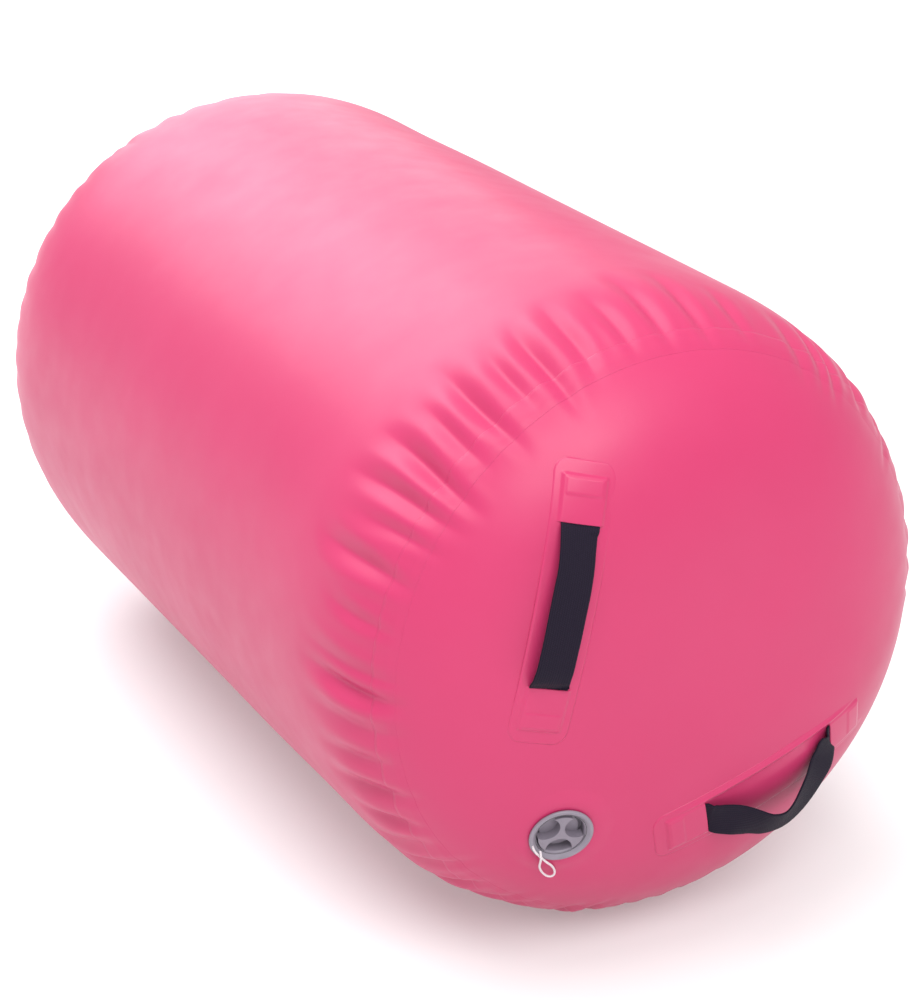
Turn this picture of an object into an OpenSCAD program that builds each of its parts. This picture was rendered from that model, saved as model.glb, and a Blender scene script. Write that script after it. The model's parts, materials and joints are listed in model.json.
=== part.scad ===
// Inflatable gymnastics roll: a coated-fabric tube with two domed end panels,
// two webbing handles and one screw-capped inflation valve on the front end.
// The roll lies on its side: +Z is up, its axis runs along Y, and the valve end faces -Y.
// The origin is on the floor, under the middle of the roll.

/* [Roll] */
// Outside diameter of the inflated roll
roll_d = 600; // [540:10:760]
// Overall length between the two domes
roll_l = 1090; // [860:10:1400]
// Axial depth of each rounded end, from shoulder to dome
end_depth = 230; // [200:5:260]
// Squareness of the rounded end's outline, where 2 is an ellipse
end_fullness = 3; // [2.6:0.1:3.4]
// Thickness of the coated fabric skin
skin_t = 1.2; // [0.8:0.1:2]
// Depth by which the underside settles flat on the floor
floor_sink = 1.5; // [1:0.25:4]

/* [Seams] */
// Distance of the end panel's seam in from the roll's side
seam_inset = 28; // [24:1:36]
// Thickness of the welded seam tapes
tape_t = 0.8; // [0.5:0.1:1.5]
// Axial width of the tape over each end seam
end_tape_w = 20; // [14:1:28]
// Width of the tape along the side wall's own seam
side_tape_w = 30; // [20:1:50]
// Angle of the side wall's seam round the roll, from +X towards +Z
side_seam_angle = -32; // [-50:1:40]

/* [Handles] */
// Distance of the left handle's middle from the roll's axis
left_rho = 162; // [150:1:170]
// Distance of the right handle's middle from the roll's axis
right_rho = 151; // [140:1:165]
// Angle between the left handle and the valve, round the roll's axis
left_spread = 77; // [70:0.5:90]
// Angle between the right handle and the valve, round the roll's axis
right_spread = 75.5; // [70:0.5:90]
// Turn of the left handle on the end panel, from radial
left_turn = -71.5; // [-95:0.5:-60]
// Turn of the right handle on the end panel, from radial
right_turn = 76; // [60:1:95]
// Width of the handle webbing
web_w = 34; // [25:1:42]
// Thickness of the handle webbing
web_t = 1.8; // [1.2:0.1:2.5]
// Distance between the two slits that a handle comes out of
grip_l = 142; // [120:2:180]
// Length of webbing welded down beyond each slit
tail_l = 38; // [25:1:45]
// Width of the welded patch over a handle
patch_w = 54; // [50:1:70]
// Length of patch beyond each webbing tail
patch_margin = 14; // [6:1:20]
// Thickness of the welded patch
patch_t = 0.9; // [0.6:0.1:1.5]
// Corner radius of the welded patch
patch_corner_r = 14; // [6:1:20]
// Rise of the left handle's loop from the line between its slits
left_bow = 26; // [22:1:45]
// Rise of the right handle's loop from the line between its slits
right_bow = 46; // [36:1:60]
// Angle by which the right handle hangs over, from straight out
right_droop = 44; // [0:1:46]

/* [Valve] */
// Distance of the valve from the roll's axis
valve_rho = 189; // [175:1:195]
// Angle of the valve round the roll, from +X towards +Z
valve_angle = 225; // [200:1:250]
// Outside radius of the valve's flange
flange_r = 28.8; // [27:0.1:35]
// Height of the flange over the gasket
flange_h = 2.6; // [2:0.1:4]
// Radius of the round recess that the cap sits in
recess_r = 21.2; // [20.5:0.1:22.5]
// Depth of the recess floor below the end panel
recess_depth = 10; // [9:0.5:12]
// Radius of the socket that a pump nozzle fits
socket_r = 13.5; // [12:0.1:14.5]
// Depth of the socket's wall below the recess floor
socket_depth = 19.5; // [18:0.5:24]
// Outside radius of the threaded barrel
barrel_r = 22.4; // [22:0.1:24]
// Radius of the air way past the valve seat
seat_r = 11; // [10:0.1:11.5]
// Thickness of the rubber gasket under the flange
gasket_t = 1; // [0.6:0.1:2]
// Outside radius of the clamping nut inside the skin
nut_r = 31; // [29:0.5:36]
// Height of the clamping nut
nut_h = 7; // [5:0.5:9]
// Radius of the doubler welded inside the skin round the valve
doubler_r = 45; // [38:1:60]
// Thickness of the doubler
doubler_t = 1; // [0.6:0.1:2]

/* [Cap and poppet] */
// Radius of the cap's three-armed grip
grip_r = 20.5; // [19:0.1:20.6]
// Height of the grip's top over the end panel
cap_top = 2; // [0:0.5:3]
// Radius of the cap's round plate
plate_r = 17.6; // [16:0.1:18.5]
// Thickness of the cap's round plate
plate_t = 2; // [1.5:0.1:3]
// Depth of the cap's plug in the socket
plug_l = 7; // [5:0.5:7.5]
// Thickness of the cap's sealing ring
ring_t = 1.4; // [1:0.1:2]
// Radius of the poppet's stem
stem_r = 2; // [1.6:0.1:2.4]
// Thickness of the poppet's rubber seal
seal_t = 2.2; // [1.5:0.1:3]
// Radius of the poppet's rubber seal
seal_r = 13.4; // [12.5:0.1:14]
// Wire diameter of the poppet's return spring
spring_wire = 0.8; // [0.6:0.1:0.9]
// Diameter of the cap's tether cord
tether_d = 2; // [1.6:0.1:2.4]

/* [Hidden] */
$fn = 96;

pvc = "#e8578a";
webbing = "#221d2b";
valve_grey = "#8d8493";
rubber = "#3a3a3e";
steel = "#b9bcc2";
cord_white = "#f3f0f1";

roll_r = roll_d / 2;
axis_h = roll_r - floor_sink;
shoulder = roll_l / 2 - end_depth;
outline_steps = 20;
far = 4 * roll_l;

// Clearances
slot_gap = 0.3;
thread_gap = 0.25;
cap_gap = 0.3;
hole_gap = 0.3;
seal_gap = 0.05;
stem_gap = 0.3;

// Profile of the rounded end, t proud of the skin's outside, as [radius, height over the shoulder]
function end_outline(t) = [for (i = [0 : outline_steps])
    let (a = 90 * i / outline_steps)
    [(roll_r + t) * pow(sin(a), 2 / end_fullness),
     (end_depth + t) * pow(cos(a), 2 / end_fullness)]];
// Height of the rounded end over the shoulder, at radius r
function end_h(r) = end_depth * pow(1 - pow(r / roll_r, end_fullness), 1 / end_fullness);
// Angle between the roll's axis and the surface's outward normal, at radius r
function end_tilt(r) = atan2(
    pow(r / roll_r, end_fullness - 1) / roll_r,
    pow(end_h(r) / end_depth, end_fullness - 1) / end_depth);

seam_r = roll_r - seam_inset;
seam_z = shoulder + end_h(seam_r);

// The roll's own frame: its axis is local z towards the front, and local y is up
module roll_frame() {
    translate([0, 0, axis_h])
        rotate([90, 0, 0])
            children();
}

// A frame on the front dome: local z is the outward normal, and local x points away from the axis
module dome_frame(rho, angle) {
    rotate([0, 0, angle])
        translate([rho, 0, shoulder + end_h(rho)])
            rotate([0, end_tilt(rho), 0])
                children();
}

module valve_frame() {
    dome_frame(valve_rho, valve_angle)
        children();
}

module left_frame() {
    dome_frame(left_rho, valve_angle - left_spread)
        rotate([0, 0, left_turn])
            children();
}

module right_frame() {
    dome_frame(right_rho, valve_angle + right_spread)
        rotate([0, 0, right_turn])
            children();
}

// The whole roll as a solid of revolution, t proud of the skin's outside
module roll_solid(t) {
    front = [for (p = end_outline(t)) [p[0], shoulder + p[1]]];
    rear = [for (i = [outline_steps : -1 : 0])
        let (p = end_outline(t)[i])
        [p[0], -shoulder - p[1]]];
    rotate_extrude()
        polygon(concat(front, rear));
}

// Everything higher than h over the floor, in the roll's frame
module above_floor(h) {
    translate([-far / 2, h - axis_h, -far / 2])
        cube([far, far, far]);
}

// Everything between two distances along the roll's axis
module slab(z0, z1) {
    translate([0, 0, z0])
        cylinder(r = roll_d, h = z1 - z0);
}

// The inflated skin, flat where it rests on the floor
module skin() {
    difference() {
        intersection() {
            roll_solid(0);
            above_floor(0);
        }
        intersection() {
            roll_solid(-skin_t);
            above_floor(skin_t);
        }
    }
}

// A layer over or under the skin, from t0 to t1 proud of its outside, on the front end only
module layer(t0, t1) {
    difference() {
        end_cap_solid(t1);
        end_cap_solid(t0);
    }
}

module end_cap_solid(t) {
    outline = [for (p = end_outline(t)) [p[0], shoulder + p[1]]];
    rotate_extrude()
        polygon(concat(outline, [[0, shoulder]]));
}

module side_wall() {
    color(pvc)
        roll_frame()
            intersection() {
                skin();
                slab(-seam_z, seam_z);
            }
}

module side_seam_tape() {
    tape_end = seam_z - end_tape_w / 2;
    color(pvc)
        roll_frame()
            intersection() {
                difference() {
                    roll_solid(tape_t);
                    roll_solid(0);
                }
                rotate([0, 0, side_seam_angle])
                    translate([0, -side_tape_w / 2, -tape_end])
                        cube([roll_d, side_tape_w, 2 * tape_end]);
            }
}

// The rear end panel is the same cap without the valve's hole
module end_panel() {
    intersection() {
        skin();
        slab(seam_z, roll_l);
    }
}

module front_end_panel() {
    color(pvc)
        roll_frame()
            difference() {
                union() {
                    end_panel();
                    valve_frame()
                        translate([0, 0, -skin_t])
                            cylinder(r = flange_r - 1, h = skin_t);
                }
                valve_frame()
                    cylinder(r = barrel_r + hole_gap, h = 20, center = true);
            }
}

module rear_end_panel() {
    color(pvc)
        roll_frame()
            rotate([0, 180, 0])
                end_panel();
}

module end_seam_tape() {
    intersection() {
        layer(0, tape_t);
        slab(seam_z - end_tape_w / 2, seam_z + end_tape_w / 2);
    }
}

module front_seam_tape() {
    color(pvc)
        roll_frame()
            end_seam_tape();
}

module rear_seam_tape() {
    color(pvc)
        roll_frame()
            rotate([0, 180, 0])
                end_seam_tape();
}

// ---- Handles, in a frame whose x runs along the handle ----

patch_l = grip_l + 2 * (tail_l + patch_margin);
prism_depth = 60;

module rounded_plate(l, w, r) {
    square([l - 2 * r, w], center = true);
    square([l, w - 2 * r], center = true);
    for (x = [-1, 1])
        for (y = [-1, 1])
            translate([x * (l / 2 - r), y * (w / 2 - r)])
                circle(r = r);
}

// A block over each webbing tail, grown by g on three sides and by mouth past the slit
module tail_blocks(g, mouth) {
    for (s = [-1, 1])
        translate([s > 0 ? grip_l / 2 - mouth : -grip_l / 2 - tail_l - g,
                   -web_w / 2 - g, -prism_depth])
            cube([tail_l + g + mouth, web_w + 2 * g, 2 * prism_depth]);
}

module left_handle_tails() {
    color(webbing)
        roll_frame()
            intersection() {
                layer(0, web_t);
                left_frame()
                    tail_blocks(0, 0);
            }
}

module right_handle_tails() {
    color(webbing)
        roll_frame()
            intersection() {
                layer(0, web_t);
                right_frame()
                    tail_blocks(0, 0);
            }
}

module patch_prism() {
    translate([0, 0, -prism_depth])
        linear_extrude(2 * prism_depth)
            rounded_plate(patch_l, patch_w, patch_corner_r);
}

// The patch lies on the skin and rises over the webbing tails, open at their slits.
// Child 0 is the patch's prism, child 1 the cover's blocks and child 2 the pocket's blocks.
module handle_patch() {
    difference() {
        union() {
            intersection() {
                layer(0, patch_t);
                children(0);
            }
            intersection() {
                layer(0, web_t + slot_gap + patch_t);
                children(1);
            }
        }
        intersection() {
            layer(-1, web_t + slot_gap);
            children(2);
        }
    }
}

module left_handle_patch() {
    color(pvc)
        roll_frame()
            handle_patch() {
                left_frame() patch_prism();
                left_frame() tail_blocks(slot_gap + patch_t, 0);
                left_frame() tail_blocks(slot_gap, 1);
            }
}

module right_handle_patch() {
    color(pvc)
        roll_frame()
            handle_patch() {
                right_frame() patch_prism();
                right_frame() tail_blocks(slot_gap + patch_t, 0);
                right_frame() tail_blocks(slot_gap, 1);
            }
}

// Height of the dome over the handle's own plane at a slit, which the swing axis passes through.
// Each slit's place is worked out in the roll's frame and brought back to the handle's.
function slit_radius(rho, turn, s) =
    let (u = rho + s * grip_l / 2 * cos(turn) * cos(end_tilt(rho)),
         v = s * grip_l / 2 * sin(turn))
    sqrt(u * u + v * v);
function slit_drop(rho, turn, s) =
    let (t = end_tilt(rho), r = slit_radius(rho, turn, s),
         dz = end_h(r) - end_h(rho),
         du = s * grip_l / 2 * cos(turn) * cos(t))
    dz * cos(t) + du * sin(t);

// A loop of webbing in the x-z plane: each station is [share of the grip, share of the bow,
// share of the width], measured from the line between the slits
left_stations = [[0.06, 0.34, 0.4], [0.12, 0.46, 0.6], [0.2, 0.6, 0.85], [0.3, 0.74, 1],
    [0.42, 0.87, 1], [0.55, 0.96, 1], [0.68, 1, 1], [0.78, 0.98, 1], [0.86, 0.88, 0.95],
    [0.91, 0.72, 0.75], [0.94, 0.52, 0.5], [0.95, 0.34, 0.4]];
right_stations = [[0.06, 0.22, 0.3], [0.1, 0.36, 0.5], [0.16, 0.54, 0.75], [0.24, 0.72, 1],
    [0.34, 0.88, 1], [0.45, 0.98, 1], [0.56, 1, 1], [0.67, 0.93, 1], [0.77, 0.78, 1],
    [0.85, 0.58, 0.75], [0.9, 0.38, 0.5], [0.94, 0.22, 0.3]];

function unit(v) = v / norm(v);

// Corners of the webbing's section at each station
function loop_rings(stations, bow) = [for (i = [0 : len(stations) - 1])
    let (a = stations[max(i - 1, 0)], b = stations[min(i + 1, len(stations) - 1)], s = stations[i],
         d = unit([(b[0] - a[0]) * grip_l, (b[1] - a[1]) * bow]),
         n = [-d[1], d[0]] * web_t / 2, w = s[2] * web_w / 2,
         p = [(s[0] - 0.5) * grip_l, s[1] * bow])
    [[p[0] + n[0], -w, p[1] + n[1]], [p[0] + n[0], w, p[1] + n[1]],
     [p[0] - n[0], w, p[1] - n[1]], [p[0] - n[0], -w, p[1] - n[1]]]];

// Joins rings of k points into one closed solid
module loft(rings, k) {
    last = (len(rings) - 1) * k;
    sides = [for (i = [0 : len(rings) - 2])
        for (j = [0 : k - 1])
            let (a = i * k + j, b = i * k + (j + 1) % k)
            each [[a, b, b + k], [a, b + k, a + k]]];
    polyhedron(
        points = [for (r = rings) each r],
        faces = concat(sides,
            [[for (j = [k - 1 : -1 : 0]) j]],
            [[for (j = [0 : k - 1]) last + j]]));
}

module left_handle_loop() {
    d0 = slit_drop(left_rho, left_turn, -1);
    d1 = slit_drop(left_rho, left_turn, 1);
    color(webbing)
        roll_frame()
            left_frame()
                translate([0, 0, (d0 + d1) / 2])
                    rotate([0, atan2(d0 - d1, grip_l), 0])
                        rotate([0, 0, 180])
                            loft(loop_rings(left_stations, left_bow), 4);
}

module right_handle_loop() {
    d0 = slit_drop(right_rho, right_turn, -1);
    d1 = slit_drop(right_rho, right_turn, 1);
    color(webbing)
        roll_frame()
            right_frame()
                translate([0, 0, (d0 + d1) / 2])
                    rotate([0, atan2(d0 - d1, grip_l), 0])
                        rotate([right_droop, 0, 0])
                            loft(loop_rings(right_stations, right_bow), 4);
}

// ---- Valve, in a frame whose z is its axis and whose zero is the end panel's outside ----

nut_sag = nut_r * nut_r / roll_r;
nut_top = -skin_t - doubler_t - nut_sag;
thread_end = nut_top - nut_h - 3;
lower_barrel_r = seat_r + 5.5;
barrel_flare = 0.15;
recess_z = -recess_depth;
socket_z = recess_z - socket_depth;
hub_h = 3.5;
spoke_h = 2;
seat_ledge = 0.8;
seat_drop = 7;
seat_z = socket_z - seat_drop;
spoke_w = 2.4;
hub_r = stem_r + 3;
spoke_z = socket_z - 0.5;
rim_z = -1;
tether_hole_angle = -26;
tether_hole_r = flange_r - 2.6;
tether_hole = tether_d / 2 + 0.5;

module valve_doubler() {
    color(pvc)
        roll_frame()
            intersection() {
                layer(-skin_t - doubler_t, -skin_t);
                valve_frame()
                    difference() {
                        translate([0, 0, -prism_depth / 3])
                            cylinder(r = doubler_r, h = prism_depth / 3);
                        cylinder(r = barrel_r + hole_gap, h = prism_depth, center = true);
                    }
            }
}

module valve_gasket() {
    color(rubber)
        roll_frame()
            valve_frame()
                difference() {
                    cylinder(r = flange_r - 2, h = gasket_t);
                    cylinder(r = barrel_r + hole_gap, h = 3 * gasket_t, center = true);
                }
}

module valve_shell() {
    rotate_extrude()
        polygon([
            [barrel_r + barrel_flare, gasket_t],
            [flange_r, gasket_t],
            [flange_r, gasket_t + flange_h * 0.5],
            [flange_r - 0.5, gasket_t + flange_h * 0.85],
            [flange_r - 1.6, gasket_t + flange_h],
            [flange_r - 2.8, gasket_t + flange_h * 0.95],
            [recess_r, rim_z],
            [recess_r, recess_z],
            [socket_r, recess_z],
            [socket_r, socket_z],
            [seat_r, socket_z - seat_ledge],
            [seat_r, seat_z],
            [lower_barrel_r, seat_z],
            [lower_barrel_r, thread_end],
            [barrel_r, thread_end]]);
}

module valve_spider() {
    translate([0, 0, spoke_z - hub_h])
        difference() {
            union() {
                cylinder(r = hub_r, h = hub_h);
                for (i = [0 : 2])
                    rotate([0, 0, 120 * i + 60])
                        translate([0, -spoke_w / 2, 0])
                            cube([seat_r + 1, spoke_w, spoke_h]);
            }
            cylinder(r = stem_r + stem_gap, h = 3 * hub_h, center = true);
        }
}

module valve_body() {
    color(valve_grey)
        roll_frame()
            valve_frame()
                union() {
                    difference() {
                        valve_shell();
                        rotate([0, 0, tether_hole_angle])
                            translate([tether_hole_r, 0, 0])
                                cylinder(r = tether_hole, h = 20);
                    }
                    valve_spider();
                }
}

module valve_nut() {
    flats = 12;
    color(valve_grey)
        roll_frame()
            valve_frame()
                translate([0, 0, nut_top - nut_h])
                    difference() {
                        cylinder(r = nut_r, h = nut_h);
                        cylinder(r = barrel_r + thread_gap, h = 3 * nut_h, center = true);
                        for (i = [0 : flats - 1])
                            rotate([0, 0, 360 / flats * i])
                                translate([nut_r + 1, 0, -1])
                                    cylinder(r = 3, h = nut_h - 1.5);
                    }
}

button_t = 1.6;
button_r = 5;
plug_z = recess_z - plug_l;
button_z = plug_z - 1;
head_t = 1.4;
seal_top = seat_z - seal_gap;
head_r = seal_r - 3;

module poppet_stem() {
    color(valve_grey)
        roll_frame()
            valve_frame()
                union() {
                    translate([0, 0, button_z - button_t])
                        cylinder(r = button_r, h = button_t);
                    translate([0, 0, seal_top - seal_t - head_t])
                        cylinder(r = stem_r, h = button_z - seal_top + seal_t + head_t - button_t / 2);
                    translate([0, 0, seal_top - seal_t - head_t])
                        cylinder(r = head_r, h = head_t);
                }
}

module poppet_seal() {
    color(rubber)
        roll_frame()
            valve_frame()
                translate([0, 0, seal_top - seal_t])
                    difference() {
                        cylinder(r = seal_r, h = seal_t);
                        cylinder(r = stem_r + seal_gap, h = 3 * seal_t, center = true);
                    }
}

spring_turns = 5;
spring_sides = 6;
spring_ring_steps = 12;
spring_r = stem_r + 1.7;
spring_z0 = spoke_z + spring_wire / 2 + seal_gap;
spring_z1 = button_z - button_t - spring_wire / 2 - seal_gap;

module poppet_spring() {
    steps = spring_turns * spring_ring_steps;
    rings = [for (i = [0 : steps])
        let (a = 360 * i / spring_ring_steps, z = spring_z0 + (spring_z1 - spring_z0) * i / steps)
        [for (j = [0 : spring_sides - 1])
            let (b = 360 * j / spring_sides, r = spring_r + spring_wire / 2 * cos(b))
            [r * cos(a), r * sin(a), z + spring_wire / 2 * sin(b)]]];
    color(steel)
        roll_frame()
            valve_frame()
                loft(rings, spring_sides);
}

cap_arm_angle = 343;
scoop_at = grip_r * 0.8;
scoop_r = grip_r * 0.585;
plate_z = recess_z + ring_t;

module cap_grip() {
    linear_extrude(cap_top - plate_z - plate_t / 2)
        difference() {
            circle(r = grip_r);
            for (i = [0 : 2])
                rotate(cap_arm_angle + 60 + 120 * i)
                    translate([scoop_at, 0])
                        circle(r = scoop_r);
        }
}

module valve_cap() {
    arm_hole_r = grip_r - 2.4;
    color(valve_grey)
        roll_frame()
            valve_frame()
                difference() {
                    union() {
                        translate([0, 0, plate_z])
                            cylinder(r = plate_r, h = plate_t);
                        translate([0, 0, plug_z])
                            cylinder(r = socket_r - cap_gap, h = plate_z - plug_z + plate_t / 2);
                        translate([0, 0, plate_z + plate_t / 2])
                            cap_grip();
                    }
                    rotate([0, 0, cap_arm_angle])
                        translate([arm_hole_r, 0, plate_z + plate_t])
                            cylinder(r = tether_hole, h = 30);
                }
}

module cap_seal() {
    color(rubber)
        roll_frame()
            valve_frame()
                translate([0, 0, recess_z])
                    difference() {
                        cylinder(r = plate_r - 0.4, h = ring_t - seal_gap);
                        cylinder(r = socket_r + 0.5, h = 3 * ring_t, center = true);
                    }
}

// The tether's route in the valve's frame: out of the flange, round a hanging loop and back
tether_route = [[23.5, -11.5, 1.5], [23.6, -11.5, 3], [24, -11, 4.6], [25, -8, 5.6], [26, -3, 5.6],
    [26.5, 2, 5.4], [27, 8, 5.2], [27.4, 14, 4.6], [28, 20, 3], [29.6, 26, 1], [32, 31.5, 0],
    [35, 34.8, -0.6], [38, 35, -0.8], [40, 32, -0.6], [40.2, 26.5, 0], [38.8, 20, 0.8],
    [36, 14, 2.4], [32.6, 9, 5], [29, 4.5, 7.4], [26, 1, 8.2], [23.6, -1.6, 6.6], [22.6, -2.8, 4.2]];
tether_sides = 8;

// Rings round a route, each turned from the last by the least angle
function next_side(side, d) = unit(side - d * (side * d));
function ring_sides(dirs, i = 0, side = [0, 1, 0]) =
    i >= len(dirs) ? [] :
    let (s = next_side(side, dirs[i]))
    concat([s], ring_sides(dirs, i + 1, s));
function tube_rings(route, r, k) =
    let (n = len(route),
         dirs = [for (i = [0 : n - 1]) unit(route[min(i + 1, n - 1)] - route[max(i - 1, 0)])],
         us = ring_sides(dirs))
    [for (i = [0 : n - 1])
        let (v = cross(dirs[i], us[i]))
        [for (j = [0 : k - 1])
            let (b = -360 * j / k)
            route[i] + r * (cos(b) * us[i] + sin(b) * v)]];

module cap_tether() {
    color(cord_white)
        roll_frame()
            valve_frame()
                loft(tube_rings(tether_route, tether_d / 2, tether_sides), tether_sides);
}

side_wall();
side_seam_tape();
front_end_panel();
rear_end_panel();
front_seam_tape();
rear_seam_tape();
left_handle_patch();
left_handle_tails();
left_handle_loop();
right_handle_patch();
right_handle_tails();
right_handle_loop();
valve_doubler();
valve_gasket();
valve_body();
valve_nut();
poppet_stem();
poppet_seal();
poppet_spring();
valve_cap();
cap_seal();
cap_tether();
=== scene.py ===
"""Inflatable gymnastics roll: the visual model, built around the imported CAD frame."""

import json
import logging
import math
from dataclasses import dataclass, field
from enum import Enum
from typing import ClassVar

import bmesh
import bpy
import numpy as np
from mathutils import Matrix, Vector

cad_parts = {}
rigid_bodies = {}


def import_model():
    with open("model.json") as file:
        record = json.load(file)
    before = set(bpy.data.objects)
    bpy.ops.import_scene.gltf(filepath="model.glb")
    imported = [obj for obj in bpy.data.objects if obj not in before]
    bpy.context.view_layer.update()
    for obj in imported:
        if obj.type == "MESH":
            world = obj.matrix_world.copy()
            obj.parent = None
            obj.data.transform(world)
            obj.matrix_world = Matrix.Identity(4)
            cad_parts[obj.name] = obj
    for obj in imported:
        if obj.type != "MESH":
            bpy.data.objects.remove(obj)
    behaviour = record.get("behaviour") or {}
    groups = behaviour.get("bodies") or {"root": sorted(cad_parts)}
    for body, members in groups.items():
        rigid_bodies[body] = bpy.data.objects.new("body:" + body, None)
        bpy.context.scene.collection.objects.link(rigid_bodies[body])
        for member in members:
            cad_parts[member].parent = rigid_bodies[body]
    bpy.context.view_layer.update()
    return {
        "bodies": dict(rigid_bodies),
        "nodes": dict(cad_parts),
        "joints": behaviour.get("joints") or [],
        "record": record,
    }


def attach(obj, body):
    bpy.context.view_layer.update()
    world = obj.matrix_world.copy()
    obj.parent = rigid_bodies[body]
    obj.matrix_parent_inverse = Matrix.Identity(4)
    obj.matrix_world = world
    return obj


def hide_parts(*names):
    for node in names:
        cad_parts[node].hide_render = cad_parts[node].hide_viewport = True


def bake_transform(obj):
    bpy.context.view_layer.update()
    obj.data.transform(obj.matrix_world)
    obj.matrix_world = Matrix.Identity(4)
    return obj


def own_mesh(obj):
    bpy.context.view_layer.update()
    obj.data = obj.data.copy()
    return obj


log = logging.getLogger("roll")

MM = 0.001


class Slot(Enum):
    """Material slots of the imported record."""

    SKIN = "pvc_skin"
    TAPE = "pvc_tape"
    PATCH = "pvc_patch"
    WEBBING = "webbing"
    VALVE = "valve_plastic"
    CAP = "cap_plastic"
    RUBBER = "seal_rubber"
    STEEL = "spring_steel"
    CORD = "tether_cord"


class End(Enum):
    """The two ends of the roll, by the sign of Y that they face."""

    FRONT = -1
    REAR = 1


# ---------------------------------------------------------------- materials


class NodeTree:
    """A small helper that adds and links shader nodes."""

    def __init__(self, name: str) -> None:
        """Start an empty material.

        Args:
            name: The material's name.
        """
        self.material = bpy.data.materials.new(name)
        self.material.use_nodes = True
        self.tree = self.material.node_tree
        self.tree.nodes.clear()
        self.out = self.add("ShaderNodeOutputMaterial")
        self.shader = self.add("ShaderNodeBsdfPrincipled")
        self.link(self.shader, "BSDF", self.out, "Surface")

    def add(self, kind: str, **values: object) -> bpy.types.Node:
        """Add a node.

        Args:
            kind: The node's type name.
            **values: Attributes to set on the node.

        Returns:
            The new node.
        """
        node = self.tree.nodes.new(kind)
        for key, value in values.items():
            setattr(node, key, value)
        return node

    def link(self, a: bpy.types.Node, out: str, b: bpy.types.Node, socket: str | int) -> None:
        """Link two nodes.

        Args:
            a: The node read.
            out: Its output's name.
            b: The node written to.
            socket: Its input, by name or number.
        """
        self.tree.links.new(a.outputs[out], b.inputs[socket])

    def set(self, **values: object) -> None:
        """Set constant inputs of the principled shader, with _ for a space in each name."""
        for key, value in values.items():
            self.shader.inputs[key.replace("_", " ")].default_value = value

    def coordinates(self, scale: tuple[float, float, float]) -> bpy.types.Node:
        """Object coordinates in metres, multiplied by scale.

        Args:
            scale: Factors along X, Y and Z.

        Returns:
            A node whose Vector output is the scaled coordinate.
        """
        source = self.add("ShaderNodeTexCoord")
        mapping = self.add("ShaderNodeMapping")
        mapping.inputs["Scale"].default_value = scale
        self.link(source, "Object", mapping, "Vector")
        return mapping

    def noise(self, scale: float, detail: float, vector: bpy.types.Node | None = None) -> bpy.types.Node:
        """A noise texture.

        Args:
            scale: Repeats for each metre.
            detail: Octaves.
            vector: A node with a Vector output, or None for object coordinates.

        Returns:
            The noise node.
        """
        node = self.add("ShaderNodeTexNoise")
        node.inputs["Scale"].default_value = scale
        node.inputs["Detail"].default_value = detail
        self.link(vector or self.coordinates((1, 1, 1)), "Vector", node, "Vector")
        return node

    def math(self, operation: str, a: object, b: object = 0.0) -> bpy.types.Node:
        """A math node on two inputs, each a number or a (node, output) pair.

        Args:
            operation: Blender's operation name.
            a: First input.
            b: Second input.

        Returns:
            The math node.
        """
        node = self.add("ShaderNodeMath", operation=operation)
        for i, value in enumerate((a, b)):
            if isinstance(value, tuple):
                self.link(value[0], value[1], node, i)
            else:
                node.inputs[i].default_value = value
        return node

    def ramp(self, source: bpy.types.Node, out: str, stops: list[tuple[float, tuple]]) -> bpy.types.Node:
        """A colour ramp over a node's output.

        Args:
            source: The node read.
            out: Its output's name.
            stops: Pairs of position and RGBA colour.

        Returns:
            The ramp node.
        """
        node = self.add("ShaderNodeValToRGB")
        elements = node.color_ramp.elements
        while len(elements) < len(stops):
            elements.new(0.5)
        for element, (position, colour) in zip(elements, stops):
            element.position = position
            element.color = colour
        self.link(source, out, node, "Fac")
        return node

    def bump(
        self, height: bpy.types.Node, out: str, depth: float, after: bpy.types.Node | None = None
    ) -> bpy.types.Node:
        """Bump the shader's normal.

        Args:
            height: The node that gives the height, from 0 to 1.
            out: Its output's name.
            depth: Height of the full bump, in metres.
            after: Another bump node to add to.

        Returns:
            The bump node, linked to the shader.
        """
        node = self.add("ShaderNodeBump")
        node.inputs["Strength"].default_value = 1.0
        node.inputs["Distance"].default_value = depth
        self.link(height, out, node, "Height")
        if after is not None:
            self.link(after, "Normal", node, "Normal")
        self.link(node, "Normal", self.shader, "Normal")
        return node


def rgba(r: float, g: float, b: float) -> tuple[float, float, float, float]:
    """An opaque linear colour."""
    return (r, g, b, 1.0)


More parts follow.
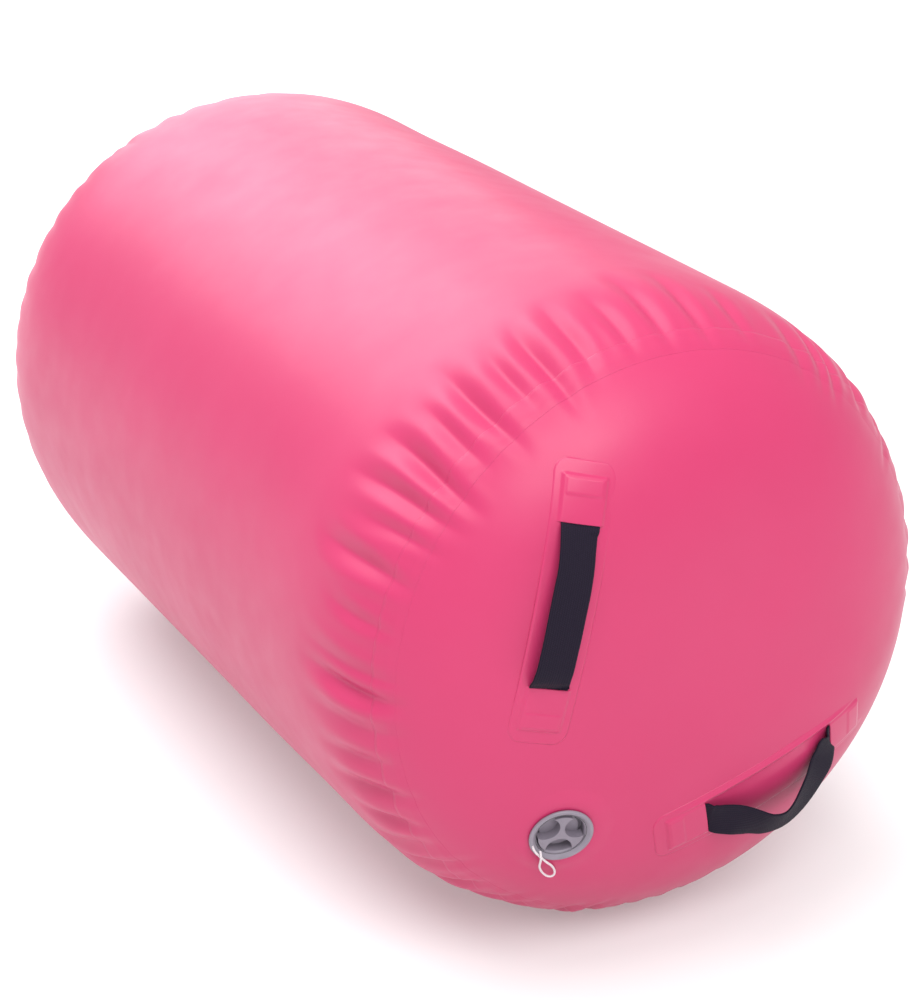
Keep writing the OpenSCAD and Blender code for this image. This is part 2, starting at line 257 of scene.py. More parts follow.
@dataclass(frozen=True)
class CoatedFabric:
    """PVC-coated fabric: satin film over a fine scrim, slightly uneven."""

    name: str = "pvc_coated_fabric"
    base: tuple[float, float, float] = (0.50, 0.034, 0.123)
    deep: tuple[float, float, float] = (0.48, 0.030, 0.114)
    roughness: float = 0.42
    scrim_per_m: float = 900.0
    scrim_depth: float = 0.00003
    ripple_depth: float = 0.0012

    def build(self) -> bpy.types.Material:
        """Returns: the material."""
        t = NodeTree(self.name)
        cloud = t.noise(5.0, 3.0)
        colour = t.ramp(cloud, "Fac", [(0.3, rgba(*self.deep)), (0.7, rgba(*self.base))])
        t.link(colour, "Color", t.shader, "Base Color")
        rough = t.noise(26.0, 4.0)
        low = t.math("MULTIPLY_ADD", (rough, "Fac"), 0.16)
        low.inputs[2].default_value = self.roughness - 0.08
        t.link(low, "Value", t.shader, "Roughness")
        scrim = t.noise(self.scrim_per_m, 2.0)
        first = t.bump(scrim, "Fac", self.scrim_depth)
        ripple = t.noise(11.0, 2.0)
        t.bump(ripple, "Fac", self.ripple_depth, first)
        t.set(Specular_IOR_Level=0.34, Coat_Weight=0.07, Coat_Roughness=0.3)
        t.set(Subsurface_Weight=0.06, Subsurface_Radius=(0.004, 0.0015, 0.0015), Subsurface_Scale=0.6)
        return t.material


@dataclass(frozen=True)
class Webbing:
    """Flat woven polyester webbing, read from its own UV map: U across and V along, in metres."""

    name: str = "woven_webbing"
    # base is the webbing's own dark colour and also the painted shade in the weave's hollows; light is a painted
    # highlight on the raised threads
    base: tuple[float, float, float] = (0.0062, 0.0036, 0.0100)
    light: tuple[float, float, float] = (0.0130, 0.0085, 0.0205)
    warp: float = 0.0021
    weft: float = 0.0017
    depth: float = 0.00028

    def build(self) -> bpy.types.Material:
        """Returns: the material."""
        t = NodeTree(self.name)
        uv = t.add("ShaderNodeUVMap")
        split = t.add("ShaderNodeSeparateXYZ")
        t.link(uv, "UV", split, "Vector")
        across = t.math("MULTIPLY", (split, "X"), math.tau / self.warp)
        along = t.math("MULTIPLY", (split, "Y"), math.tau / self.weft)
        half = t.math("MULTIPLY", (across, "Value"), 0.5)
        step = t.math("SIGN", (t.math("SINE", (half, "Value")), "Value"))
        shift = t.math("MULTIPLY", (step, "Value"), math.pi / 2)
        woven = t.math("ADD", (along, "Value"), (shift, "Value"))
        ribs = t.math("ABSOLUTE", (t.math("SINE", (half, "Value")), "Value"))
        picks = t.math("SINE", (woven, "Value"))
        mixed = t.math("MULTIPLY_ADD", (picks, "Value"), 0.3)
        t.link(ribs, "Value", mixed, 2)
        height = t.math("MULTIPLY_ADD", (mixed, "Value"), 0.6)
        height.inputs[2].default_value = 0.2
        t.bump(height, "Value", self.depth)
        # Colour follows the weave's height: painted shade in the hollows, painted highlight on the raised threads
        colour = t.ramp(height, "Value", [(0.1, rgba(*self.base)), (0.95, rgba(*self.light))])
        t.link(colour, "Color", t.shader, "Base Color")
        fuzz = t.noise(3000.0, 2.0)
        rough = t.math("MULTIPLY_ADD", (fuzz, "Fac"), 0.2)
        rough.inputs[2].default_value = 0.62
        t.link(rough, "Value", t.shader, "Roughness")
        t.set(Sheen_Weight=0.03, Sheen_Roughness=0.5, Specular_IOR_Level=0.11)
        return t.material


@dataclass(frozen=True)
class MouldedPlastic:
    """Injection-moulded plastic with a fine spark-eroded grain."""

    name: str
    base: tuple[float, float, float]
    roughness: float = 0.42
    grain_per_m: float = 5200.0
    grain_depth: float = 0.00002

    def build(self) -> bpy.types.Material:
        """Returns: the material."""
        t = NodeTree(self.name)
        light = tuple(min(1.0, c * 1.18) for c in self.base)
        cloud = t.noise(60.0, 3.0)
        colour = t.ramp(cloud, "Fac", [(0.3, rgba(*self.base)), (0.75, rgba(*light))])
        t.link(colour, "Color", t.shader, "Base Color")
        rough = t.noise(300.0, 2.0)
        level = t.math("MULTIPLY_ADD", (rough, "Fac"), 0.14)
        level.inputs[2].default_value = self.roughness - 0.07
        t.link(level, "Value", t.shader, "Roughness")
        t.bump(t.noise(self.grain_per_m, 2.0), "Fac", self.grain_depth)
        t.set(Specular_IOR_Level=0.5)
        return t.material


@dataclass(frozen=True)
class SoftRubber:
    """Dull moulded rubber with bloom."""

    name: str = "seal_rubber"
    base: tuple[float, float, float] = (0.035, 0.034, 0.038)

    def build(self) -> bpy.types.Material:
        """Returns: the material."""
        t = NodeTree(self.name)
        cloud = t.noise(220.0, 4.0)
        pale = tuple(c * 1.7 for c in self.base)
        colour = t.ramp(cloud, "Fac", [(0.35, rgba(*self.base)), (0.8, rgba(*pale))])
        t.link(colour, "Color", t.shader, "Base Color")
        t.bump(t.noise(2500.0, 2.0), "Fac", 0.00003)
        t.set(Roughness=0.7, Specular_IOR_Level=0.4)
        return t.material


@dataclass(frozen=True)
class DrawnWire:
    """Bright drawn steel wire."""

    name: str = "drawn_steel_wire"

    def build(self) -> bpy.types.Material:
        """Returns: the material."""
        t = NodeTree(self.name)
        streak = t.noise(900.0, 3.0)
        colour = t.ramp(streak, "Fac", [(0.3, rgba(0.36, 0.36, 0.38)), (0.7, rgba(0.62, 0.62, 0.64))])
        t.link(colour, "Color", t.shader, "Base Color")
        t.bump(streak, "Fac", 0.00001)
        t.set(Metallic=1.0, Roughness=0.28)
        return t.material


@dataclass(frozen=True)
class BraidedCord:
    """Thin braided cord, read from its own UV map: U round and V along, in metres."""

    name: str = "braided_cord"
    base: tuple[float, float, float] = (0.72, 0.64, 0.67)
    # shade: painted shade in the braid's hollows
    shade: tuple[float, float, float] = (0.48, 0.38, 0.42)
    pitch: float = 0.0026
    strands: int = 4

    def build(self) -> bpy.types.Material:
        """Returns: the material."""
        t = NodeTree(self.name)
        uv = t.add("ShaderNodeUVMap")
        split = t.add("ShaderNodeSeparateXYZ")
        t.link(uv, "UV", split, "Vector")
        round_ = t.math("MULTIPLY", (split, "X"), math.tau * self.strands)
        along = t.math("MULTIPLY", (split, "Y"), math.tau / self.pitch)
        left = t.math("SINE", (t.math("ADD", (round_, "Value"), (along, "Value")), "Value"))
        right = t.math("SINE", (t.math("SUBTRACT", (round_, "Value"), (along, "Value")), "Value"))
        top = t.math("MAXIMUM", (left, "Value"), (right, "Value"))
        height = t.math("MULTIPLY_ADD", (top, "Value"), 0.5)
        height.inputs[2].default_value = 0.5
        t.bump(height, "Value", 0.00018)
        # Colour follows the braid's height: painted shade between the strands, lighter on the raised strands
        colour = t.ramp(height, "Value", [(0.2, rgba(*self.shade)), (0.7, rgba(*self.base))])
        t.link(colour, "Color", t.shader, "Base Color")
        t.set(Roughness=0.7, Sheen_Weight=0.2, Sheen_Roughness=0.5)
        return t.material


@dataclass
class Finishes:
    """Every material, made once and handed out by slot."""

    made: dict[Slot, bpy.types.Material] = field(default_factory=dict)

    def build(self) -> None:
        """Make all the materials."""
        fabric = CoatedFabric().build()
        self.made = {
            Slot.SKIN: fabric,
            Slot.TAPE: CoatedFabric(name="pvc_seam_tape", roughness=0.40).build(),
            Slot.PATCH: CoatedFabric(name="pvc_patch_fabric", roughness=0.34, ripple_depth=0.0006).build(),
            Slot.WEBBING: Webbing().build(),
            Slot.VALVE: MouldedPlastic("valve_grey_plastic", (0.205, 0.178, 0.218)).build(),
            Slot.CAP: MouldedPlastic("cap_grey_plastic", (0.188, 0.162, 0.200)).build(),
            Slot.RUBBER: SoftRubber().build(),
            Slot.STEEL: DrawnWire().build(),
            Slot.CORD: BraidedCord().build(),
        }

    def dress(self, obj: bpy.types.Object, slot: Slot) -> None:
        obj.data.materials.clear()
        obj.data.materials.append(self.made[slot])

    def dress_node(self, frame: dict, node: str, slot: Slot) -> None:
        """Give a carried-over CAD node its finish.

        Args:
            frame: The loaded CAD frame.
            node: The node's name.
            slot: The finish's slot.
        """
        obj = frame["nodes"][node]
        if not obj.material_slots:
            obj.data.materials.append(self.made[slot])
        for material_slot in obj.material_slots:
            material_slot.material = self.made[slot]


# ---------------------------------------------------------------- mesh helpers


def new_mesh(name: str, points: np.ndarray, faces: list, smooth: bool = True) -> bpy.types.Object:
    """Make a mesh object in the scene.

    Args:
        name: The piece's name.
        points: One row of X, Y, Z for each vertex, in metres.
        faces: Lists of vertex numbers.
        smooth: Whether its faces are shaded smooth.

    Returns:
        The new object.
    """
    mesh = bpy.data.meshes.new(name)
    mesh.from_pydata([tuple(map(float, p)) for p in points], [], faces)
    mesh.validate()
    if smooth:
        mesh.polygons.foreach_set("use_smooth", [True] * len(mesh.polygons))
    mesh.update()
    obj = bpy.data.objects.new(name, mesh)
    bpy.context.scene.collection.objects.link(obj)
    return obj


def grid_faces(rows: int, columns: int, wrap: bool = False) -> list[list[int]]:
    """Quads over a grid of vertices numbered row by row.

    Args:
        rows: Number of rows.
        columns: Number of vertices in each row.
        wrap: Whether the last column joins the first.

    Returns:
        The faces.
    """
    faces = []
    for i in range(rows - 1):
        for j in range(columns if wrap else columns - 1):
            a = i * columns + j
            b = i * columns + (j + 1) % columns
            faces.append([a, b, b + columns, a + columns])
    return faces


def smoothstep(low: float, high: float, x: np.ndarray) -> np.ndarray:
    """Smooth 0 to 1 ramp of x between low and high."""
    t = np.clip((x - low) / (high - low), 0.0, 1.0)
    return t * t * (3 - 2 * t)


def smooth_path(points: np.ndarray, count: int) -> np.ndarray:
    """Evenly spaced points on a Catmull-Rom curve.

    Args:
        points: The points that the curve passes through.
        count: How many points to give.

    Returns:
        count rows, evenly spaced along the curve.
    """
    p = np.concatenate([2 * points[:1] - points[1:2], points, 2 * points[-1:] - points[-2:-1]])
    fine = []
    for i in range(1, len(p) - 2):
        t = np.linspace(0, 1, 24, endpoint=False)[:, None]
        a, b, c, d = p[i - 1], p[i], p[i + 1], p[i + 2]
        square, cube = 2 * a - 5 * b + 4 * c - d, 3 * b - a - 3 * c + d
        fine.append(0.5 * (2 * b + (c - a) * t + square * t**2 + cube * t**3))
    line = np.concatenate(fine + [p[-2:-1]])
    length = np.concatenate([[0], np.cumsum(np.linalg.norm(np.diff(line[:, :3], axis=0), axis=1))])
    at = np.linspace(0, length[-1], count)
    return np.stack([np.interp(at, length, line[:, k]) for k in range(line.shape[1])], axis=1)


def rounded_profile(corners: list[tuple[float, float, float]], steps: int = 4) -> list[tuple[float, float]]:
    """Round the corners of an open profile.

    Args:
        corners: Rows of radius, height and rounding radius.
        steps: Points on each rounded corner.

    Returns:
        The profile's points, as radius and height.
    """
    result = []
    for i, (r, z, rounding) in enumerate(corners):
        p = np.array([r, z])
        if i in (0, len(corners) - 1) or rounding <= 0:
            result.append((r, z))
            continue
        a = np.array(corners[i - 1][:2]) - p
        b = np.array(corners[i + 1][:2]) - p
        reach = min(rounding, 0.45 * np.linalg.norm(a), 0.45 * np.linalg.norm(b))
        start = p + a / np.linalg.norm(a) * reach
        end = p + b / np.linalg.norm(b) * reach
        for k in range(steps + 1):
            t = k / steps
            q = (1 - t) ** 2 * start + 2 * t * (1 - t) * p + t**2 * end
            result.append((float(q[0]), float(q[1])))
    return result


# ---------------------------------------------------------------- the form of the roll


@dataclass
class RollForm:
    """The inflated form: a tube with domed ends, gathered in creases round both end seams.

    Attributes:
        radius: Outside radius.
        length: Length from dome to dome.
        end_depth: Axial depth of each rounded end.
        fullness: Squareness of the rounded end's outline.
        sink: Depth by which the underside settles flat.
        seam_inset: Distance of the end seam in from the roll's side.
        creases: Gathers round each end.
        rear_share: Depth of the rear end's gathers as a share of the front's.
        gather_share: Share of its listed depth that each gather reaches.
        puff_share: Height of the puffs beside a gather as a share of its depth.
        seed: Seed of the gathers' draws.
    """

    radius: float = 0.300
    length: float = 1.090
    end_depth: float = 0.230
    fullness: float = 3.0
    sink: float = 0.0015
    seam_inset: float = 0.028
    creases: int = 52
    rear_share: float = 0.28
    gather_share: float = 0.86
    puff_share: float = 0.34
    seed: int = 11
    crease_rows: dict[End, np.ndarray] = field(default_factory=dict)

    # Creases that show most on the front end: angle, lean, depth, width, inner and outer reach
    STRONG: ClassVar[tuple[tuple[float, ...], ...]] = (
        (175.5, -3.0, 5.0, 1.5, -0.014, 0.105),
        (166.5, -4.0, 3.0, 1.3, -0.006, 0.080),
        (157.5, -3.0, 6.5, 1.7, -0.012, 0.110),
        (150.5, 1.0, 3.0, 1.2, -0.022, 0.070),
        (145.0, 2.0, 6.0, 1.6, -0.026, 0.110),
        (138.5, -3.0, 8.0, 1.7, -0.030, 0.100),
        (131.5, -2.0, 3.5, 1.3, -0.014, 0.080),
        (125.0, -1.5, 7.0, 1.7, -0.026, 0.105),
        (118.0, -3.5, 3.5, 1.3, -0.008, 0.085),
        (112.0, -4.5, 6.0, 1.6, -0.028, 0.095),
        (105.0, -4.5, 4.5, 1.5, -0.010, 0.100),
        (97.0, 0.0, 3.5, 1.3, -0.004, 0.090),
        (89.5, 0.0, 5.0, 1.5, -0.010, 0.115),
        (81.5, 0.5, 4.5, 1.4, -0.010, 0.115),
        (73.0, 1.0, 3.0, 1.3, -0.002, 0.085),
    )

    def __post_init__(self) -> None:
        """Tabulate the outline by its length, and draw the creases of both ends."""
        a = np.linspace(0, math.pi / 2, 1500)
        r = self.radius * np.sin(a) ** (2 / self.fullness)
        h = self.end_depth * np.cos(a) ** (2 / self.fullness)
        step = np.hypot(np.diff(r), np.diff(h))
        self.shoulder = self.length / 2 - self.end_depth
        self.arc = np.concatenate([[0], np.cumsum(step)])
        self.arc_r = r
        self.arc_y = self.shoulder + h
        self.end_arc = float(self.arc[-1])
        self.half_arc = self.end_arc + self.shoulder
        self.axis_h = self.radius - self.sink
        self.seam_arc = float(np.interp(self.radius - self.seam_inset, r, self.arc))
        self.crease_rows = {End.FRONT: self._draw(End.FRONT), End.REAR: self._draw(End.REAR)}

    def _draw(self, end: End) -> np.ndarray:
        """Draw one end's creases.

        Args:
            end: Which end.

        Returns:
            Rows of angle, lean, depth, width, inner and outer reach, in radians and metres.
        """
        rng = np.random.default_rng(self.seed + (0 if end is End.FRONT else 100))
        rows = []
        strong = self.STRONG if end is End.FRONT else ()
        taken = [row[0] for row in strong]
        for i in range(self.creases):
            angle = 360 / self.creases * (i + rng.uniform(-0.28, 0.28))
            lean = rng.uniform(-4, 4)
            depth = rng.choice([3.5, 5.0, 6.5, 8.0], p=[0.25, 0.3, 0.3, 0.15]) * rng.uniform(0.8, 1.2)
            width = rng.uniform(1.3, 1.9)
            inner = -rng.uniform(0.006, 0.030)
            outer = rng.uniform(0.07, 0.115)
            if all(abs((angle - t + 180) % 360 - 180) > 4.0 for t in taken):
                rows.append((angle, lean, depth, width, inner, outer))
        rows += list(strong)
        table = np.array(rows)
        table[:, [0, 1, 3]] = np.radians(table[:, [0, 1, 3]])
        table[:, 2] *= MM
        if end is End.REAR:
            table[:, 2] *= self.rear_share
            table[:, 5] = 0.05 + 0.25 * table[:, 5]
        return table

    def gather(self, angle: np.ndarray, arc: np.ndarray, end: End) -> np.ndarray:
        """Displacement of the skin by the gathers.

        Args:
            angle: Angle round the roll, from +X towards +Z.
            arc: Length along the outline from the end's apex.
            end: Which end.

        Returns:
            Outward displacement in metres.
        """
        reach = arc - self.seam_arc
        total = np.zeros(np.broadcast(angle, arc).shape)
        near = (reach > -0.09) & (reach < 0.17)
        if not np.any(near):
            return total
        for at, lean, depth, width, inner, outer in self.crease_rows[end]:
            along = (reach - inner) / (outer - inner)
            window = smoothstep(-0.12, 0.45, along) * (1 - smoothstep(0.50, 1.10, along))
            across = (angle - at - lean * (along - 0.5) * 0.5 + math.pi) % math.tau - math.pi
            across = across + 0.18 * width * np.sin(along * 5.0 + at * 7.0)
            spread = width * (0.90 + 0.35 * np.clip(along, 0, 1.2))
            valley = np.exp(-np.abs(across / spread) ** 1.5)
            puff = np.exp(-((np.abs(across) / spread - 1.75) ** 2) / 1.0)
            total += self.gather_share * window * depth * (self.puff_share * puff - valley)
        return total

    def _outline(self, arc: np.ndarray) -> tuple[np.ndarray, np.ndarray, np.ndarray, np.ndarray]:
        """The plain outline at lengths from the apex.

        Args:
            arc: Lengths along the outline from the end's apex.

        Returns:
            Radius, distance along the axis, and the outward normal's radial and axial parts.
        """
        arc = np.asarray(arc, float)
        beyond = np.clip(arc - self.end_arc, 0, None)
        inside = np.clip(arc, 0, self.end_arc)
        r = np.interp(inside, self.arc, self.arc_r)
        y = np.interp(inside, self.arc, self.arc_y) - beyond
        tilt_r = (r / self.radius) ** (self.fullness - 1) / self.radius
        height = np.clip((y - self.shoulder) / self.end_depth, 0, 1)
        tilt_y = height ** (self.fullness - 1) / self.end_depth
        size = np.hypot(tilt_r, tilt_y)
        return r, y, tilt_r / size, tilt_y / size

    def points(
        self, angle: np.ndarray, arc: np.ndarray, end: End, lift: np.ndarray | float = 0.0
    ) -> np.ndarray:
        """Points on the skin's outside.

        Args:
            angle: Angles round the roll.
            arc: Lengths along the outline from the end's apex.
            end: The end that arc is measured from.
            lift: Height over the skin.

        Returns:
            Points in the row frame, in metres.
        """
        angle, arc = np.broadcast_arrays(angle, arc)
        r, y, nr, ny = self._outline(arc)
        push = self.gather(angle, arc, end) + self.swell(angle, arc, end) + lift
        radial = r + nr * push
        x = radial * np.cos(angle)
        z = radial * np.sin(angle) + self.axis_h
        z = np.maximum(z, np.maximum(-np.asarray(lift), 0.0) + 0.0001)
        return np.stack([x, end.value * (y + ny * push), z], axis=-1)

    def swell(self, angle: np.ndarray, arc: np.ndarray, end: End) -> np.ndarray:
        """Slow unevenness of a filled skin, fading out where it meets the floor.

        Args:
            angle: Angles round the roll.
            arc: Lengths along the outline.
            end: Which end.

        Returns:
            Outward displacement in metres.
        """
        side = 0.0 if end is End.FRONT else 1.7
        wave = 0.9 * np.sin(3 * angle + 13 * arc + side) + 0.7 * np.sin(5 * angle - 19 * arc + 1.1 + side)
        off_floor = smoothstep(0.10, 0.45, 1 + np.sin(angle))
        off_middle = smoothstep(0.02, 0.12, arc)
        clear = 1 - smoothstep(self.end_arc - 0.02, self.half_arc, arc)
        return wave * 0.0007 * off_floor * off_middle * clear

    def end_height(self, r: np.ndarray) -> np.ndarray:
        """Distance along the axis of the plain dome at radius r."""
        inside = np.clip(1 - (r / self.radius) ** self.fullness, 0, None)
        return self.shoulder + self.end_depth * inside ** (1 / self.fullness)


@dataclass
class DomeFrame:
    """A flat frame that touches the front dome at one point.

    Attributes:
        form: The roll's form.
        rho: Distance of the touching point from the roll's axis.
        angle: Angle of that point round the roll, in degrees.
        turn: Turn of the frame's x from radial, in degrees.
    """

    form: RollForm
    rho: float
    angle: float
    turn: float = 0.0

    def __post_init__(self) -> None:
        """Work out the frame's axes in the row frame."""
        f = self.form
        high = float(f.end_height(np.array(self.rho))) - f.shoulder
        tilt = math.atan2(
            (self.rho / f.radius) ** (f.fullness - 1) / f.radius,
            (high / f.end_depth) ** (f.fullness - 1) / f.end_depth,
        )
        spin = Matrix.Rotation(math.radians(self.angle), 3, "Z")
        lean = Matrix.Rotation(tilt, 3, "Y")
        own = Matrix.Rotation(math.radians(self.turn), 3, "Z")
        to_row = Matrix.Rotation(math.pi / 2, 3, "X")
        self.local = np.array(spin @ lean @ own)
        self.place = np.array(spin @ Vector((self.rho, 0, f.shoulder + high)))
        self.axes = np.array(to_row) @ self.local
        self.origin = np.array(to_row) @ self.place + np.array([0, 0, f.axis_h])
        self.tilt = tilt

    def at(self, p: np.ndarray) -> np.ndarray:
        """Points of this frame, in the row frame."""
        return np.asarray(p, float) @ self.axes.T + self.origin

    def direction(self, d: tuple[float, float, float]) -> Vector:
        """A direction of this frame, in the row frame."""
        return Vector(self.axes @ np.array(d))

    def drape(self, x: np.ndarray, y: np.ndarray, lift: np.ndarray | float = 0.0) -> np.ndarray:
        """Points on the plain dome over places of this frame, lifted along its normal.

        Args:
            x: Places along the frame's x.
            y: Places along its y.
            lift: Height over the dome.

        Returns:
            Points in the row frame.
        """
        x, y = np.broadcast_arrays(x, y)
        return self.at(np.stack([x, y, self.heights(x, y) + lift], axis=-1))

    def heights(self, x: np.ndarray, y: np.ndarray) -> np.ndarray:
        """Heights of the plain dome over this frame's plane.

        Args:
            x: Places along the frame's x.
            y: Places along its y.

        Returns:
            A height for each place, found by stepping onto the dome.
        """
        z = np.zeros_like(x, dtype=float)
        for _ in range(6):
            local = np.stack([x, y, z], axis=-1) @ self.local.T + self.place
            r = np.hypot(local[..., 0], local[..., 1])
            z = z + (self.form.end_height(r) - local[..., 2]) * math.cos(self.tilt)
        return z

    def height(self, x: float, y: float) -> float:
        """Height of the plain dome over this frame's plane at one place."""
        return float(self.heights(np.array([x]), np.array([y]))[0])


# ---------------------------------------------------------------- closed shells


def shell_mesh(
    name: str,
    top: np.ndarray,
    bottom: np.ndarray,
    wrap: bool = False,
    keep: np.ndarray | None = None,
    apex: tuple[np.ndarray, np.ndarray] | None = None,
) -> bpy.types.Object:
    """A closed thin body between two grids of the same shape, walled along every border.

    Args:
        name: The piece's name.
        top: Outer surface, as rows by columns by 3.
        bottom: Inner surface, the same shape.
        wrap: Whether the last column joins the first.
        keep: Which cells to keep, or None for all.
        apex: Outer and inner points that close the first row, or None.

    Returns:
        The new object.
    """
    rows, columns, _ = top.shape
    count = rows * columns
    wide = columns if wrap else columns - 1
    i, j = np.meshgrid(np.arange(rows - 1), np.arange(wide), indexing="ij")
    a = i * columns + j
    b = i * columns + (j + 1) % columns
    quads = np.stack([a, b, b + columns, a + columns], axis=-1).reshape(-1, 4)
    if keep is not None:
        quads = quads[keep.reshape(-1)]
    edges = np.concatenate([quads[:, [k, (k + 1) % 4]] for k in range(4)])
    big = 2 * count + 2
    one_way = edges[:, 0] * big + edges[:, 1]
    other = edges[:, 1] * big + edges[:, 0]
    border = edges[~np.isin(one_way, other)]
    faces = quads.tolist() + (quads[:, ::-1] + count).tolist()
    points = np.concatenate([top.reshape(-1, 3), bottom.reshape(-1, 3)])
    if apex is not None:
        points = np.concatenate([points, np.array(apex).reshape(2, 3)])
        inner = (border < columns).all(axis=1)
        for p, q in border[inner].tolist():
            faces.append([q, p, 2 * count])
            faces.append([p + count, q + count, 2 * count + 1])
        border = border[~inner]
    for p, q in border.tolist():
        faces.append([q, p, p + count, q + count])
    used = np.unique(np.concatenate([np.array(f) for f in (quads, quads + count)]).reshape(-1))
    if apex is not None:
        used = np.concatenate([used, [2 * count, 2 * count + 1]])
    number = np.full(len(points), -1)
    number[used] = np.arange(len(used))
    return new_mesh(name, points[used], [[int(number[v]) for v in f] for f in faces])


def map_uv(obj: bpy.types.Object, uv: list[tuple[float, float]]) -> None:
    """Give a mesh a UV map, one pair for each corner of each face in order."""
    layer = obj.data.uv_layers.new(name="UVMap")
    layer.data.foreach_set("uv", np.array(uv, np.float32).reshape(-1))


def round_edges(obj: bpy.types.Object, width: float, segments: int = 3, angle: float = 35.0) -> None:
    """Round a hard piece's sharp edges with a bevel modifier.

    Args:
        obj: The piece.
        width: Width of the bevel in metres.
        segments: Its segments.
        angle: Least angle of a rounded edge, in degrees.
    """
    bevel = obj.modifiers.new("round_edges", "BEVEL")
    bevel.width = width
    bevel.segments = segments
    bevel.limit_method = "ANGLE"
    bevel.angle_limit = math.radians(angle)
    bevel.harden_normals = False
    obj.data.set_sharp_from_angle(angle=math.radians(50))


def lathe(
    name: str, profile: list[tuple[float, float]], frame: DomeFrame, steps: int = 96
) -> bpy.types.Object:
    """Turn a closed profile round a frame's z.

    Args:
        name: The piece's name.
        profile: Radius and height of each corner, in metres, closed by the last joining the first.
        frame: The frame whose z is the axis.
        steps: Points round the axis.

    Returns:
        The new object.
    """
    angle = np.linspace(0, math.tau, steps, endpoint=False)
    points = np.concatenate(
        [np.stack([r * np.cos(angle), r * np.sin(angle), np.full(steps, z)], axis=-1) for r, z in profile]
    )
    faces = grid_faces(len(profile), steps, wrap=True)
    last = (len(profile) - 1) * steps
    for j in range(steps):
        k = (j + 1) % steps
        faces.append([last + j, last + k, k, j])
    obj = new_mesh(name, frame.at(points), faces)
    fix_normals(obj)
    return obj


def join_into(target: bpy.types.Object, other: bpy.types.Object) -> None:
    """Join one mesh object into another."""
    bpy.ops.object.select_all(action="DESELECT")
    other.select_set(True)
    target.select_set(True)
    bpy.context.view_layer.objects.active = target
    bpy.ops.object.join()


def fix_normals(obj: bpy.types.Object) -> None:
    """Turn a closed mesh's faces outward."""
    work = bmesh.new()
    work.from_mesh(obj.data)
    bmesh.ops.recalc_face_normals(work, faces=work.faces)
    work.to_mesh(obj.data)
    work.free()
    obj.data.update()


# ---------------------------------------------------------------- the roll's skin


